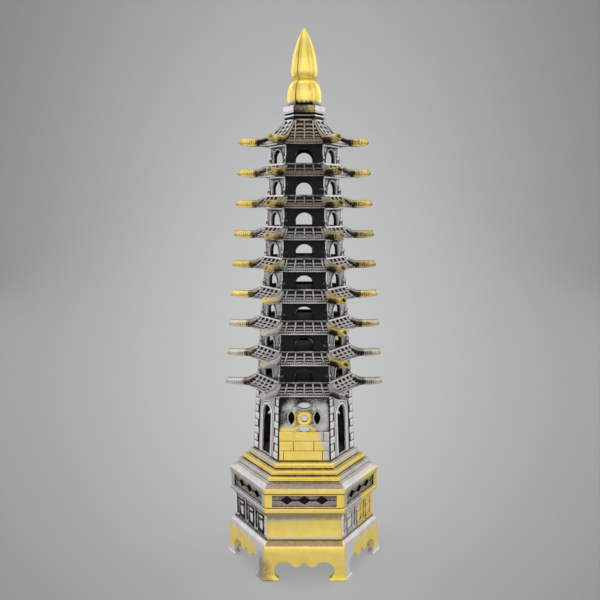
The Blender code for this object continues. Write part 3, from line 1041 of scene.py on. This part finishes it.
def make_frieze(kit):
    """The frieze, with a sunk panel on each face that holds three lozenges and the links between."""
    low, top = CORNICE_TOP + 0.3, FRIEZE_TOP
    inner = FRIEZE_R - 3.2
    body = turned("frieze_body", [(FRIEZE_R, low), (FRIEZE_R, top), (inner, top), (inner, low)])
    flat = FRIEZE_R * FLAT
    sunk = flat - 1.0
    bm = bmesh.new()
    slab(bm, -14.6, 14.6, low + 0.45, top - 0.35, sunk, flat + 2)
    carved(body, round_axis(kit, solid("panels", bm)))
    middle = (low + top) / 2 + 0.2
    bm = bmesh.new()
    for place in (-1, 0, 1):
        prism(bm, arc((place * 7.9, middle), (3.05, 2.1), 0, 270, 3), flat - 2.3, flat + 1)
    carved(body, round_axis(kit, solid("lozenges", bm)))
    softened(body, 0.14)
    bm = bmesh.new()
    spans = ((-13.9, -10.6, 0.35), (-5.1, -2.7, 0.85), (2.7, 5.1, 0.85), (10.6, 13.9, 0.35))
    for left, right, width in spans:
        moulding(bm, [(u, middle) for u in (left, (left + right) / 2, right)], sunk, width, 0.15)
    links = round_axis(kit, solid("links", bm))
    return joined("lozenge_frieze", [(body, 0.0), (links, 0.0)])


def make_cornice():
    low, top = DRUM_TOP + 0.3, CORNICE_TOP
    inner = DRUM_R - 2.3
    profile = [
        (DRUM_R - 0.1, low),
        (DRUM_R + 0.7, low + 0.15),
        (CORNICE_R - 0.2, low + 0.55),
        (CORNICE_R, low + 0.9),
        (CORNICE_R, top - 0.35),
        (CORNICE_R - 0.2, top),
        (inner, top),
        (inner, low),
    ]
    return joined("lower_cornice", [(softened(turned("cornice", profile), 0.18, angle=25), 0.0)])


def drum_r(z):
    share = (z - STAND_TOP) / (DRUM_TOP - STAND_TOP)
    return DRUM_R - DRUM_HOLLOW * math.sin(math.pi * share)


def make_drum(kit):
    """The drum's slightly hollow sides, with a square fret in relief on every other one."""
    low, top = STAND_TOP + 0.3, DRUM_TOP
    profile = [(drum_r(z), z) for z in np.linspace(low, top, 9)]
    profile += [(DRUM_R - 2.3, top), (DRUM_R - 2.3, low)]
    body = softened(turned("drum_body", profile), 0.2, angle=40)
    bm = bmesh.new()
    for strip in fret_strips():
        slab(bm, *strip, -0.4, 0.42)
    for vert in bm.verts:
        vert.co.y -= drum_r(vert.co.z) * FLAT
    fret = softened(round_axis(kit, solid("fret", bm), 3, SIXTH), 0.1, angle=40)
    return joined("fret_drum", [(body, -0.15), (fret, 0.15)])


def fret_strips():
    """Bars of a square spiral fret, as (left, right, low, high)."""
    strips = []
    bar, pitch, low, high = 0.9, 10.0, 20.4, 28.9
    for i in (-1, 0, 1):
        left = i * pitch - 4.0
        right = left + 8.0
        strips += [
            (left, left + bar, low, high),
            (left, right, high - bar, high),
            (right - bar, right, low, high),
            (left + 2.4, right, low, low + bar),
            (left + 2.4, left + 2.4 + bar, low, high - 2.4),
            (left + 2.4, right - 2.2, high - 2.4 - bar, high - 2.4),
        ]
    return strips


def make_stand(kit):
    """The footed stand: a bulged skirt, a scalloped apron and cabriole feet on pads."""
    profile = [
        (37.45, 0),
        (37.6, 0.12),
        (37.6, 0.75),
        (37.3, 1.1),
        (36.95, 2.6),
        (36.75, 5.0),
        (36.6, 8.0),
        (36.5, 11.0),
        (36.4, 13.5),
        (36.15, 15.2),
        (35.6, 16.4),
        (34.6, 17.2),
        (34.25, 17.5),
        (34.2, STAND_TOP),
        (31.8, STAND_TOP),
        (31.8, 15.8),
        (33.8, 13.2),
        (33.8, 0),
    ]
    body = turned("stand_body", profile)
    edge = arc((3.7, 8.9), (2.6, 2.6), -150, -30, 10)
    edge += arc((8.9, 4.9), (4.8, 3.9), 128, 0, 18)
    half = [(0, 8.8), *edge, (13.6, 3.6), (13.3, 2.5), (12.4, 1.5), (11.6, 1.1), (11.6, -1)]
    outline = half + [(-u, z) for u, z in reversed(half) if u > 0]
    bm = bmesh.new()
    prism(bm, outline, 28.2, 40)
    carved(body, round_axis(kit, solid("apron_cut", bm)))
    softened(body, 0.28, segments=3, angle=25)
    return joined("footed_stand", [(body, 0.0)])


def lobed(name, stations, steps, around=144):
    """A six-lobed turned form with a fine seam on each corner."""
    bm = bmesh.new()
    loops = []
    for r, z in smooth_steps(stations, steps):
        loop = []
        for k in range(around):
            angle = 2 * math.pi * k / around
            degrees = math.degrees(angle)
            off = abs((degrees + 30) % 60 - 30) / 30
            seam = 0.035 if 30 < degrees % 120 < 90 else 0.07
            reach = r * (1 - 0.03 * (1 - off) ** 2 - seam * math.exp(-((off / 0.06) ** 2)))
            loop.append((reach * math.cos(angle), reach * math.sin(angle), z))
        loops.append(loop)
    loft(bm, loops)
    return joined(name, [(solid("lobes", bm), 0.0)])


def make_finial():
    foot = rim_z(STOREYS) + SEAM_GAP
    profile = [(NECK_R + 0.1, foot)]
    for a in np.linspace(-1.45, 1.45, 9):
        profile.append((8.75 + 0.75 * math.cos(a), foot + 1.1 + 1.0 * math.sin(a)))
    neck = turned("neck", [*profile, (NECK_R, NECK_TOP)], closed=False)
    neck = refined(joined("rolled_neck", [(softened(neck, 0.25, angle=50), 0.0)]), 1.0)
    profile = [(9.5, 211.3), (9.65, 211.5), (9.65, 211.9), (9.85, 212.1), (9.9, 214.4), (9.75, 214.7)]
    seat = softened(turned("seat", profile, closed=False), 0.16, angle=50)
    seat = refined(joined("seat_block", [(seat, 0.0)]), 1.0)
    bulb = [
        (7.4, BULB_FOOT_Z),
        (8.1, 216.4),
        (8.3, 218.6),
        (8.1, 221.1),
        (7.3, 223.9),
        (6.2, 225.6),
        (4.9, WAIST_Z),
    ]
    bud = [
        (4.85, WAIST_Z + 0.1),
        (5.7, 227.7),
        (6.2, 229.0),
        (6.38, 230.6),
        (6.15, 232.9),
        (5.75, 235.8),
        (5.05, 238.8),
        (4.15, 241.7),
        (3.15, 244.6),
        (1.55, 247.7),
        (0.55, 249.6),
        (0.1, 249.95),
    ]
    return [neck, seat, lobed("petalled_bulb", bulb, 30), lobed("pointed_bud", bud, 44)]


def refined(obj, longest):
    """Splits long edges, so that the settled black, patina and painted occlusion shade, has points to sit on.
    """
    bm = bmesh.new()
    bm.from_mesh(obj.data)
    bmesh.ops.triangulate(bm, faces=bm.faces)
    for _ in range(6):
        long_edges = [e for e in bm.edges if e.calc_length() > longest * MM]
        if not long_edges:
            break
        bmesh.ops.subdivide_edges(bm, edges=long_edges, cuts=1)
        bmesh.ops.triangulate(bm, faces=[f for f in bm.faces if len(f.verts) > 3])
    bm.to_mesh(obj.data)
    bm.free()
    return obj


def smoothstep(low, high, value):
    t = np.clip((value - low) / (high - low), 0, 1)
    return t * t * (3 - 2 * t)


def face_places(points):
    """For each point, the number of the face it is on, its place along it and its distance off the axis."""
    x, y = points[:, 0], points[:, 1]
    face = np.round(np.arctan2(x, -y) / SIXTH).astype(int) % 6
    turn = face * SIXTH
    return face, x * np.cos(turn) + y * np.sin(turn), x * np.sin(turn) - y * np.cos(turn)


class Places:
    """Where a piece's points are: on their face, round the axis and on the sides that are gilded."""

    def __init__(self, points):
        x, y, self.z = points.T
        self.face, self.along, self.out = face_places(points)
        self.radius = np.hypot(x, y)
        self.turn = np.degrees(np.arctan2(x, -y))
        self.around = np.abs(self.turn)
        self.even = self.face % 2 == 0
        self.front = smoothstep(34, 29, self.around)
        self.side = smoothstep(37, 52, self.around) * smoothstep(168, 140, self.around)
        self.side = self.side * np.where(self.turn > 0, 1.0, 0.85)
        self.far_right = 0.8 * smoothstep(50, 68, self.turn) * smoothstep(150, 130, self.turn)
        self.none = np.zeros(len(points))


def plate_lotus(name, at, black, soot):
    """Gold, with bronze and black in the seams and at the foot."""
    seam = np.abs((at.turn % 60) - 30)
    strong = np.where(np.abs((at.turn + 30) % 120 - 60) > 30, 1.0, 0.45)
    ragged = 0.45 * np.cos(3.1 * at.along + 0.8) + 0.3 * np.cos(7.7 * at.along)
    ragged = ragged + 0.25 * np.cos(12.1 * at.along + 2)
    foot = smoothstep(BULB_FOOT_Z + 3, BULB_FOOT_Z, at.z + ragged) * (name == "petalled_bulb")
    in_front = at.around < 30
    in_seam = strong * np.exp(-((seam / 2.4) ** 2))
    gold = 1 - 0.95 * foot * ~in_front
    brown = 0.9 * foot * in_front + 0.8 * in_seam
    black = black + 0.55 * foot * in_front + 0.6 * in_seam
    return gold, brown, black, soot * 0.7 * smoothstep(1.0, 2.5, np.abs(at.z - WAIST_Z - 0.1))


def plate_seat(name, at, black, soot):
    """Every other face darker and part gilded. The neck below is ungilded, with a painted highlight as a
    bright line near its top.
    """
    on_neck = name == "rolled_neck"
    gold = at.even * (0.3 + 0.5 * smoothstep(-1.0, 4.0, at.along)) * (not on_neck)
    black = black + np.where(at.even, 0.64 - 0.28 * gold, 0.1) + 0.45 * on_neck
    # Painted highlight: a thin bright line on the neck
    black = black - 1.1 * on_neck * np.exp(-(((at.z - NECK_TOP + 0.8) / 0.2) ** 2))
    return gold, np.where(at.even, 0.65, 0.35), black, soot


HORN_GOLD = {9: 1.0, 8: 0.95, 7: 0.9, 6: 0.8, 5: 0.8, 4: 0.72, 3: 0.42, 2: 0.36, 1: 0.2}
HORN_SHADE = {9: 0.36, 8: 0.44, 7: 0.44}
TILE_GOLD = {9: 0.36, 8: 0.2, 7: 0.15}
TILE_BRONZE = {9: 0.9, 8: 0.85, 7: 0.75, 6: 0.5, 5: 0.35, 4: 0.3}


def plate_roof(name, at, black, soot):
    """Gilding that fades down the tower, strongest on the horns, and bronze over the tiles."""
    storey = int(name.rsplit("_", 1)[1])
    edge = eave_r(storey)
    off_hip = np.abs(np.abs(at.along) - at.out * SLANT) * FLAT
    on_hip = smoothstep(2.4, 1.9, off_hip)
    horn = smoothstep(edge - 3.5, edge + 0.5, at.radius) * smoothstep(2.7, 2.0, off_hip)
    beyond = smoothstep(edge - 0.5, edge + 1.5, at.radius)
    outward = smoothstep(edge - 3.0, edge + 1.5, at.radius) * horn
    fascia = (at.z < eave_z(storey) + 0.7) * (1 - horn)
    sideways = smoothstep(60, 75, at.around) * smoothstep(120, 105, at.around)
    on_right = at.turn > 0
    root = smoothstep(edge - 5.0, edge - 3.0, at.radius) * (1 - smoothstep(edge + 0.3, edge + 2.5, at.radius))
    root = sideways * root * on_hip

    gold = horn * HORN_GOLD[storey] * (0.75 + 0.25 * sideways)
    gold += (1 - horn) * TILE_GOLD.get(storey, 0.05) * at.even * (1 - 0.7 * fascia)
    if storey in (2, 3, 4):
        gold += 0.45 * horn * on_right * (1 - sideways)

    brown = (1 - horn) * TILE_BRONZE.get(storey, 0.2) * (0.35 + 0.65 * at.even) * (1 - 0.35 * on_hip)
    brown += horn * (0.3 + 0.2 * (storey > 4) + 0.08 * (1 - sideways)) + 0.6 * root
    brown += (0.1 if storey > 6 else 0.22) * horn * sideways * on_right

    grooves = 0.5 - 0.5 * np.cos(2 * np.pi * at.radius / HORN_GROOVE)
    middle = smoothstep(1.25, 0.75, np.abs(at.z - eave_z(storey) - 2.0))
    ringed = (0.2 + 0.2 * grooves) * middle * (0.35 + 0.65 * sideways)
    left_share = 0.95 if storey > 4 else 0.2
    shaded = HORN_SHADE.get(storey, 0.36) * np.where(on_right, 1.0, left_share) * (1 - sideways)
    black = black + ringed * beyond + shaded * outward + 0.36 * root + 0.12 * horn * on_right
    if storey == STOREYS:
        black = black + 0.3 * on_hip * (1 - beyond)
    rim = (at.z > rim_z(storey) - 0.85) & (storey < STOREYS) & (at.radius < edge - 2.5)
    black = black + rim * np.where(at.even, 0.4, -0.2) + 0.3 * fascia * at.even * (storey > 4)
    return gold, brown, black, soot * 0.65


def plate_upper_wall(name, at, black, soot):
    """Plain pewter, nearly black on every other face, and black inside as painted shade."""
    inside = at.out < wall_r(int(name.rsplit("_", 1)[1])) * FLAT - 0.6
    trim = (black < 0) & at.even & ~inside
    # Painted shade: the wall's inner faces are blackened and take the full occlusion black
    black = black + np.where(at.even, 0.8, 0.2) + 0.7 * inside - 0.06 * trim
    return at.none, at.none, black, soot * np.where(at.even | inside, 1.0, 0.5)


def plate_ground_storey(name, at, black, soot):
    """Gold on the window faces' lower left and round the window's rims, and black inside as painted shade."""
    low = smoothstep(-1.2, 1.2, 68.4 - at.z - 0.12 * (at.along + 10))
    left = smoothstep(12.0, 5.5, at.along + 0.28 * (at.z - 57))
    ring = np.hypot(at.along, at.z - WINDOW_Z) - 3.25
    bow = np.hypot(at.along / ARCH_RADII[0], (at.z - ARCH_FOOT_Z) / ARCH_RADII[1]) * 4 - 4.7
    bow = np.where(at.z > ARCH_FOOT_Z - 0.5, bow, 1.0)
    petal_u, petal_z = PETALS[3][0]
    petal = np.hypot(at.along - petal_u, 0.65 * (at.z - WINDOW_Z - petal_z)) - 2.1
    rims = np.minimum(np.minimum(ring, bow), np.where(np.abs(at.along + 4.9) < 1.0, petal, 1.0))
    gold = np.maximum(low * left, smoothstep(0.5, 0.1, rims)) * at.even
    # Painted shade: the window faces darken towards the top, under the eave; they also darken towards the
    # left
    dim = 0.16 + 0.3 * smoothstep(77, 81, at.z) + 0.25 * smoothstep(-6, -10, at.along)
    black = black + dim * at.even * (1 - gold) * (at.z > 66) - 0.1 * at.even * gold
    # Painted shade: the inner faces of the wall are blackened
    inside = at.out < ground_flat(at.z) - 0.7
    return gold * ~inside, at.none, black + 0.8 * inside, soot * np.where(at.even, 0.65, 0.45)


def plate_step(name, at, black, soot):
    """Gold in front, with bronze and some black on the tread."""
    gold = np.maximum(at.front, {"upper_step": 0.3, "middle_step": 0.75, "lower_step": 0.2}[name])
    index = STEP_NAMES.index(name)
    riser = (*STEP_RADII, GROUND_FOOT_R)[index + 1] * FLAT
    tread = smoothstep(riser + 2.2, riser + 0.5, at.out) * (at.z > STEP_TOPS[index] - 0.6)
    return gold, 0.6 * tread * at.even, black + 0.2 * tread, soot


def plate_cap(name, at, black, soot):
    """Gold on the upright edge, and bronze on the slope above it."""
    slope = at.z > CAP_FASCIA_TOP - 0.1
    gold = np.maximum(at.front, at.far_right) * np.where(slope, 0.35, 1.0)
    brown = slope * np.where(at.even, 0.8, 0.45)
    return gold, brown, black + slope * np.where(at.even, 0.15, -0.2) - 0.15 * ~slope, soot


def plate_cornice(name, at, black, soot):
    return np.maximum(at.front, at.far_right), at.none, black, soot


def plate_frieze(name, at, black, soot):
    """Gold like the cornice's, but bronze in the sunk panels and black in the lozenges."""
    gold = np.maximum(at.front, at.far_right)
    sunk = FRIEZE_R * FLAT - at.out
    inside = (sunk > 0.6) & (at.radius > 28)
    gold = np.where(inside, 0.2 * gold, gold)
    link = inside & (sunk < 0.95)
    shade = 0.16 + 0.15 * smoothstep(36.5, 39.5, at.z)
    black = black + 1.2 * ((sunk > 1.15) | link) + inside * at.even * shade
    return gold, 0.9 * inside, black, soot * np.where(inside, 0.45, 1.0)


def plate_drum(name, at, black, soot):
    """Gold in the middle of the front, and bronze at the top and foot of every other side; at the top it is
    painted shade under the cornice.
    """
    lit = smoothstep(33.5, 24, at.z - 0.12 * at.along) * smoothstep(16.0, 22.5, at.z)
    gold = np.maximum(at.front * lit, at.far_right)
    relief = at.out > drum_r(24.5) * FLAT + 0.3
    black = black + 0.55 * (at.face == 5) * relief
    black = black - 0.35 * ~relief * ~at.even
    # Painted shade: bronze at the top of every other side, under the cornice
    brown = 0.9 * at.even * np.maximum(smoothstep(25, 30, at.z), 0.7 * smoothstep(21, 18, at.z))
    return gold, brown, black, soot * np.where(relief | at.even, 1.0, 0.2)


def plate_stand(name, at, black, soot):
    """Gold, worn to bronze and black at the shoulder, the pads and one leg."""
    shoulder = smoothstep(15.0, 16.2, at.z)
    gold = np.maximum(at.front, at.side * smoothstep(16.4, 12.5, at.z) * smoothstep(1.5, 5.0, at.z))
    brown = shoulder * np.where(at.even, 0.85, 0.45) + 0.4 * smoothstep(1.6, 0.6, at.z)
    worn_leg = smoothstep(12, 3, np.abs(at.turn + 32)) * smoothstep(15, 7, at.z)
    black = black - 0.33 * smoothstep(16.2, 14.5, at.z) + 0.12 * shoulder + 0.45 * worn_leg
    return gold, brown + 0.7 * worn_leg, black, soot


PLATERS = {
    "petalled_bulb": plate_lotus,
    "pointed_bud": plate_lotus,
    "seat_block": plate_seat,
    "rolled_neck": plate_seat,
    "tiled_roof": plate_roof,
    "arched_wall": plate_upper_wall,
    "ground_storey": plate_ground_storey,
    "lower_step": plate_step,
    "middle_step": plate_step,
    "upper_step": plate_step,
    "sloped_cap": plate_cap,
    "lower_cornice": plate_cornice,
    "lozenge_frieze": plate_frieze,
    "fret_drum": plate_drum,
    "footed_stand": plate_stand,
}


def plating(name, points, black, soot):
    """How much gold, brown bronze and black a piece has at each of its points; the black is patina with
    painted shade, and below zero polish and painted highlight.
    """
    plater = PLATERS[name.rstrip("0123456789").rstrip("_")]
    gold, brown, black, soot = plater(name, Places(points), black, soot)
    return np.clip(gold, 0, 1), np.clip(brown, 0, 1), black + soot


def under_tiles(storey, points):
    """How deep each point lies under the line of a roof's tiles."""
    _, _, out = face_places(points)
    rim, high, foot, low = tile_line(storey)
    return tile_height(high, low, np.clip((out - rim) / (foot - rim), 0, 1)) - points[:, 2]


def under_tiles(storey, points):
    """How deep each point lies under the line of a roof's tiles."""
    _, _, out = face_places(points)
    top_roof = storey == STOREYS
    foot_z = eave_z(storey) + TILE_FOOT_Z
    eave = (wall_r(storey) + EAVE_OVERHANG) * FLAT - 0.35
    rim = (TOP_ROOF_R if top_roof else wall_r(storey + 1) + RIM_OVERHANG) * FLAT
    high = eave_z(storey) + TOP_ROOF_RISE - 0.8 if top_roof else rim_z(storey) - 0.95
    t = np.clip((out - rim) / (eave - rim), 0, 1)
    return high - (high - foot_z) * (t + SAG * t * (1 - t)) - points[:, 2]


def tile_shade_and_highlight(storey, points):
    """Painted shade and highlight: tiles are black at their heads, in the shadow of the course above, and
    bright at their lips.
    """
    return 1.1 * smoothstep(0.22, 0.55, under_tiles(storey, points)) - 0.25


def horn_shade_and_highlight(storey, points):
    """Painted highlight and shade: hips and horns are bright on their raised shoulder lines, grey between
    them and black underneath.
    """
    line = smooth_steps(horn_stations(storey), 60)
    x, y, z = points.T
    corner = np.round(np.arctan2(y, x) / SIXTH) * SIXTH
    reach = x * np.cos(corner) + y * np.sin(corner)
    across = np.abs(y * np.cos(corner) - x * np.sin(corner))
    middle, half_width, half_height = (np.interp(reach, line[:, 0], line[:, k]) for k in (1, 2, 3))
    angle = np.degrees(np.arctan2((z - middle) / half_height, across / half_width))
    shoulder = np.exp(-(((angle - 46) / 8) ** 2))
    inner = 1 - smoothstep(horn_r(storey) - 5.5, horn_r(storey) - 1.6, reach)
    sideways = np.abs(np.cos(corner)) > 0.9
    under = np.where(sideways, 0.6 * smoothstep(-20, -60, angle), 0.45 * smoothstep(5, -50, angle))
    shade = 0.26 * smoothstep(40, 25, np.abs(angle)) + under
    crown = (0.5 if storey == STOREYS else 0.2) * smoothstep(55, 75, angle)
    return inner * (shade + crown - 0.5 * shoulder) - 0.2


def deck_shade(storey, points):
    """Painted shade: a roof casting is black under its tiles and under its rim, less so beside the hips, and
    left unblackened on its fascia.
    """
    _, along, out = face_places(points)
    z = points[:, 2] - eave_z(storey)
    rise = TOP_ROOF_RISE if storey == STOREYS else ROOF_RISE
    eave, rim = eave_r(storey) * FLAT, rim_flat(storey)
    deck = (z > 0.6) & (z < rise - 0.85) & (out > rim - 0.3) & (out < eave + EAVE_SWEEP)
    beside_hip = np.abs(along) > out * SLANT - 0.9 - 1.2 * np.clip((out - rim) / (eave - rim), 0, 1)
    return np.where(deck, np.where(beside_hip, 0.15, 1.2), 0.0)


def settle_finish(pieces, recipe, finish):
    """Works out the occlusion for the whole model at once, then gives each piece its patina and painted shade
    from it, and its plating.
    """
    whole = bpy.data.meshes.new("whole")
    bm = bmesh.new()
    for piece in pieces:
        bm.from_mesh(piece.data)
    bm.to_mesh(whole)
    bm.free()
    obj = bpy.data.objects.new("whole", whole)
    bpy.context.scene.collection.objects.link(obj)
    cooked(recipe, obj, {"Reach": PATINA_AND_SHADE_REACH * MM, "Finish": finish})
    soot = np.empty(len(obj.data.vertices), np.float32)
    obj.data.attributes["soot"].data.foreach_get("value", soot)
    bpy.data.objects.remove(obj)
    start = 0
    for piece in pieces:
        mesh = piece.data
        count = len(mesh.vertices)
        black = np.empty(count, np.float32)
        mesh.attributes["black"].data.foreach_get("value", black)
        gold, brown, black = plating(piece.name, places_of(mesh), black, soot[start : start + count])
        for label, values in (("black", black), ("gold", gold), ("brown", brown)):
            layer = mesh.attributes.get(label) or mesh.attributes.new(label, "FLOAT", "POINT")
            layer.data.foreach_set("value", values.astype(np.float32))
        start += count
        mesh.materials.clear()
        mesh.materials.append(finish)
        mesh.shade_smooth()
        mesh.set_sharp_from_angle(angle=math.radians(SHARP_ANGLE))


class Shading(NodeMaker):
    """The nodes of one material."""

    def __init__(self, name):
        self.material = bpy.data.materials.new(name)
        self.material.use_nodes = True
        super().__init__(self.material.node_tree)
        self.shader = self.tree.nodes["Principled BSDF"].inputs
        self.place = self.node("ShaderNodeTexCoord", output="Object")

    def noise(self, size, detail=3.0, roughness=0.55):
        """Noise whose features are about this many millimetres across."""
        inputs = {"Vector": self.place, "Scale": 1 / (size * MM), "Detail": detail, "Roughness": roughness}
        return self.node("ShaderNodeTexNoise", inputs)

    def attribute(self, name):
        return self.node("ShaderNodeAttribute", output="Fac", attribute_name=name)

    def ramp(self, value, low, high, out_low=0.0, out_high=1.0):
        inputs = {"Value": value, "From Min": low, "From Max": high, "To Min": out_low, "To Max": out_high}
        return self.node("ShaderNodeMapRange", inputs, interpolation_type="SMOOTHSTEP")

    def mix(self, share, a, b):
        """A blend of two colours, each a node's output or plain red, green and blue."""
        a, b = (colour if isinstance(colour, Field) else (*colour, 1.0) for colour in (a, b))
        return self.node("ShaderNodeMix", {"Factor": share, 6: a, 7: b}, output=2, data_type="RGBA")


def antiqued_casting():
    """Cast white metal, part gilded and part bronzed, with black worked into its recesses. That black also
    carries painted shade, and below zero it is polish and painted highlight.
    """
    s = Shading("antiqued_casting")
    blotch = s.noise(5.0)
    speck = s.noise(0.7, 4.0, 0.65)
    grain = s.noise(0.22, 2.0, 0.6)
    patina_shade_and_highlight = s.attribute("black")
    held_black_and_shade = (patina_shade_and_highlight + 0.1) * (blotch * 0.55 + speck + 0.22)
    black = s.ramp(held_black_and_shade, 0.3, 0.8)
    gold = s.ramp(s.attribute("gold") + (blotch - 0.5) * 0.6, 0.15, 0.85)
    brown = s.ramp(s.attribute("brown") + (speck - 0.5) * 0.6, 0.3, 0.9)
    pewter = s.mix(s.ramp(blotch, 0.35, 0.65), (0.62, 0.60, 0.585), (0.54, 0.52, 0.51))
    gilt = s.mix(s.ramp(blotch, 0.3, 0.7), (0.96, 0.74, 0.21), (0.91, 0.67, 0.13))
    bronze = s.mix(s.ramp(speck, 0.35, 0.65), (0.34, 0.25, 0.18), (0.22, 0.16, 0.11))
    # Painted highlight: where the black is below zero the pewter turns brighter and less metallic, partly
    # real polish
    polish_and_highlight = s.ramp(patina_shade_and_highlight, -0.15, -0.5)
    pewter = s.mix(polish_and_highlight, pewter, (0.86, 0.845, 0.825))
    colour = s.mix(gold, pewter, gilt)
    colour = s.mix(brown * 0.8, colour, bronze)
    s.put(s.shader["Base Color"], s.mix(black, colour, (0.008, 0.0075, 0.007)))
    s.put(s.shader["Metallic"], s.ramp(s.math("MAXIMUM", black, polish_and_highlight), 0.0, 1.0, 0.62, 0.3))
    s.put(s.shader["Specular IOR Level"], 0.2)
    s.put(s.shader["Roughness"], s.ramp(speck, 0.3, 0.7, 0.3, 0.37) + black * 0.22)
    height = grain * 0.5 + speck * 0.5
    bump = s.node("ShaderNodeBump", {"Height": height, "Distance": 0.05 * MM, "Strength": 0.25})
    s.put(s.shader["Normal"], bump)
    return s.material


def make_camera():
    """The photograph's view: a little above the middle, looking down by about seven degrees."""
    data = bpy.data.cameras.new("camera")
    data.lens = CAMERA_LENS
    data.sensor_width = 36
    data.clip_start = 0.02
    camera = bpy.data.objects.new("camera", data)
    camera.location = CAMERA_PLACE
    camera.rotation_euler = (math.radians(90 - CAMERA_TILT), 0, 0)
    bpy.context.scene.collection.objects.link(camera)
    bpy.context.scene.camera = camera


def softbox(name, place, aim, size, watts):
    data = bpy.data.lights.new(name, "AREA")
    data.shape = "RECTANGLE"
    data.size, data.size_y = size
    data.energy = watts
    lamp = bpy.data.objects.new(name, data)
    lamp.location = place
    lamp.rotation_euler = (Vector(aim) - Vector(place)).to_track_quat("-Z", "Y").to_euler()
    bpy.context.scene.collection.objects.link(lamp)


def glowing_paper():
    """Grey paper that glows, and dims away from the middle of the view as in the photograph."""
    s = Shading("glowing_paper")
    x, y, z = (s.node("ShaderNodeSeparateXYZ", {0: s.place}, output=axis) for axis in range(3))
    camera_y, camera_z, view_drop = 0.358, 0.171, 0.128
    away = s.math("MAXIMUM", y + camera_y, 0.3)
    across = x / away
    above = (z - camera_z) / away + view_drop
    dimming = across * across * PAPER_DIMMING[0] + 1.0 + above * above * PAPER_DIMMING[1]
    shade = s.ramp(s.noise(40.0), 0.3, 0.7, 0.98, 1.0)
    s.put(s.shader["Base Color"], (0.14, 0.142, 0.142, 1.0))
    s.put(s.shader["Emission Color"], (0.985, 1.0, 0.995, 1.0))
    s.put(s.shader["Emission Strength"], s.math("DIVIDE", PAPER_GLOW, dimming) * shade)
    s.put(s.shader["Roughness"], 0.9)
    return s.material


def make_backdrop():
    """A sheet of paper under the model that sweeps up behind it."""
    bm = bmesh.new()
    curve = [(0.3 + 0.8 * math.sin(a), 0.8 - 0.8 * math.cos(a)) for a in np.linspace(0, 1.57, 16)]
    section = [(-1.6, 0.0), *curve, (1.1, 2.6)]
    loft(bm, [[(x, y, z) for y, z in section] for x in (-2.6, 2.6)], closed=False)
    mesh = bpy.data.meshes.new("paper_sweep")
    bm.to_mesh(mesh)
    bm.free()
    mesh.shade_smooth()
    sweep = bpy.data.objects.new("paper_sweep", mesh)
    bpy.context.scene.collection.objects.link(sweep)
    mesh.materials.append(glowing_paper())


def make_studio():
    """Dim surroundings and softboxes. The card on the floor throws light up under the eaves."""
    world = bpy.data.worlds.new("studio")
    world.use_nodes = True
    background = world.node_tree.nodes["Background"].inputs
    background["Color"].default_value = (0.9, 0.93, 0.95, 1)
    background["Strength"].default_value = 0.16
    bpy.context.scene.world = world
    bpy.context.scene.view_settings.view_transform = "Standard"
    sides = (("left", -1), ("right", 1))
    for side, x in sides:
        softbox(f"{side}_softbox", (x * 0.52, 0.3, 0.3), (0, 0, 0.12), (0.5, 0.9), 2.1)
    softbox("top_softbox", (0, 0.0, 0.95), (0, 0, 0.1), (0.9, 0.7), 3.0)
    softbox("front_softbox", (0.04, -1.0, 0.3), (0, 0, 0.12), (1.95, 0.9), 7.0)
    softbox("floor_card", (0, -0.2, 0.003), (0, -0.2, 1), (0.5, 0.26), 0.12)
    softbox("upper_front_softbox", (0, -0.8, 0.85), (0, 0, 0.15), (1.3, 0.6), 2.0)
    for side, x in sides:
        softbox(f"{side}_front_softbox", (x * 0.78, -0.28, 0.25), (0, 0, 0.14), (0.8, 0.9), 1.8)
    softbox("backdrop_glow", (0, 0.45, 0.95), (0, 1.1, 0.25), (0.8, 0.3), 1.5)


def dress(finish):
    """Every dressed piece, with the node of the frame that it stands in for."""
    kit = {
        "round": make_round_recipe(),
        "tiles": make_tile_recipe(),
        "ribs": make_rib_recipe(),
        "beads": make_bead_recipe(),
        "finish": finish,
    }
    tile = make_tile()
    dressed = []
    for storey in range(1, STOREYS + 1):
        dressed.append((make_roof(storey, kit, tile), f"roof_{storey}"))
        if storey > 1:
            dressed.append((refined(make_upper_wall(storey, kit), 2.4), f"wall_{storey}"))
    bpy.data.objects.remove(tile)
    dressed.append((refined(make_ground_wall(kit), 1.8), "ground_wall"))
    for index, node in enumerate(("step_lower", "step_middle", "step_upper")):
        dressed.append((refined(make_step(index), 2.2), node))
    dressed.append((refined(make_cap(), 2.2), "plinth_cap"))
    dressed.append((refined(make_frieze(kit), 2.0), "plinth_frieze"))
    dressed.append((refined(make_cornice(), 2.4), "drum_cornice"))
    dressed.append((refined(make_drum(kit), 2.0), "panel_drum"))
    dressed.append((refined(make_stand(kit), 2.0), "foot_stand"))
    finial_nodes = ("neck_ring", "finial_seat", "lotus_bulb", "lotus_bud")
    return dressed + list(zip(make_finial(), finial_nodes))


GILDED = {"foot_stand", "step_lower", "step_middle", "step_upper"}
GILDED |= {"roof_7", "roof_8", "roof_9", "finial_seat", "lotus_bulb", "lotus_bud"}


def slot_of(node):
    return "gold_wash" if node in GILDED else "antique_pewter"


def main():
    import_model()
    finish = antiqued_casting()
    dressed = dress(finish)
    settle_finish([piece for piece, _ in dressed], make_patina_and_shade_recipe(), finish)
    for piece, node in dressed:
        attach(piece, "root")
        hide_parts(node)
        slot_of(node)
    make_camera()
    make_backdrop()
    make_studio()


main()
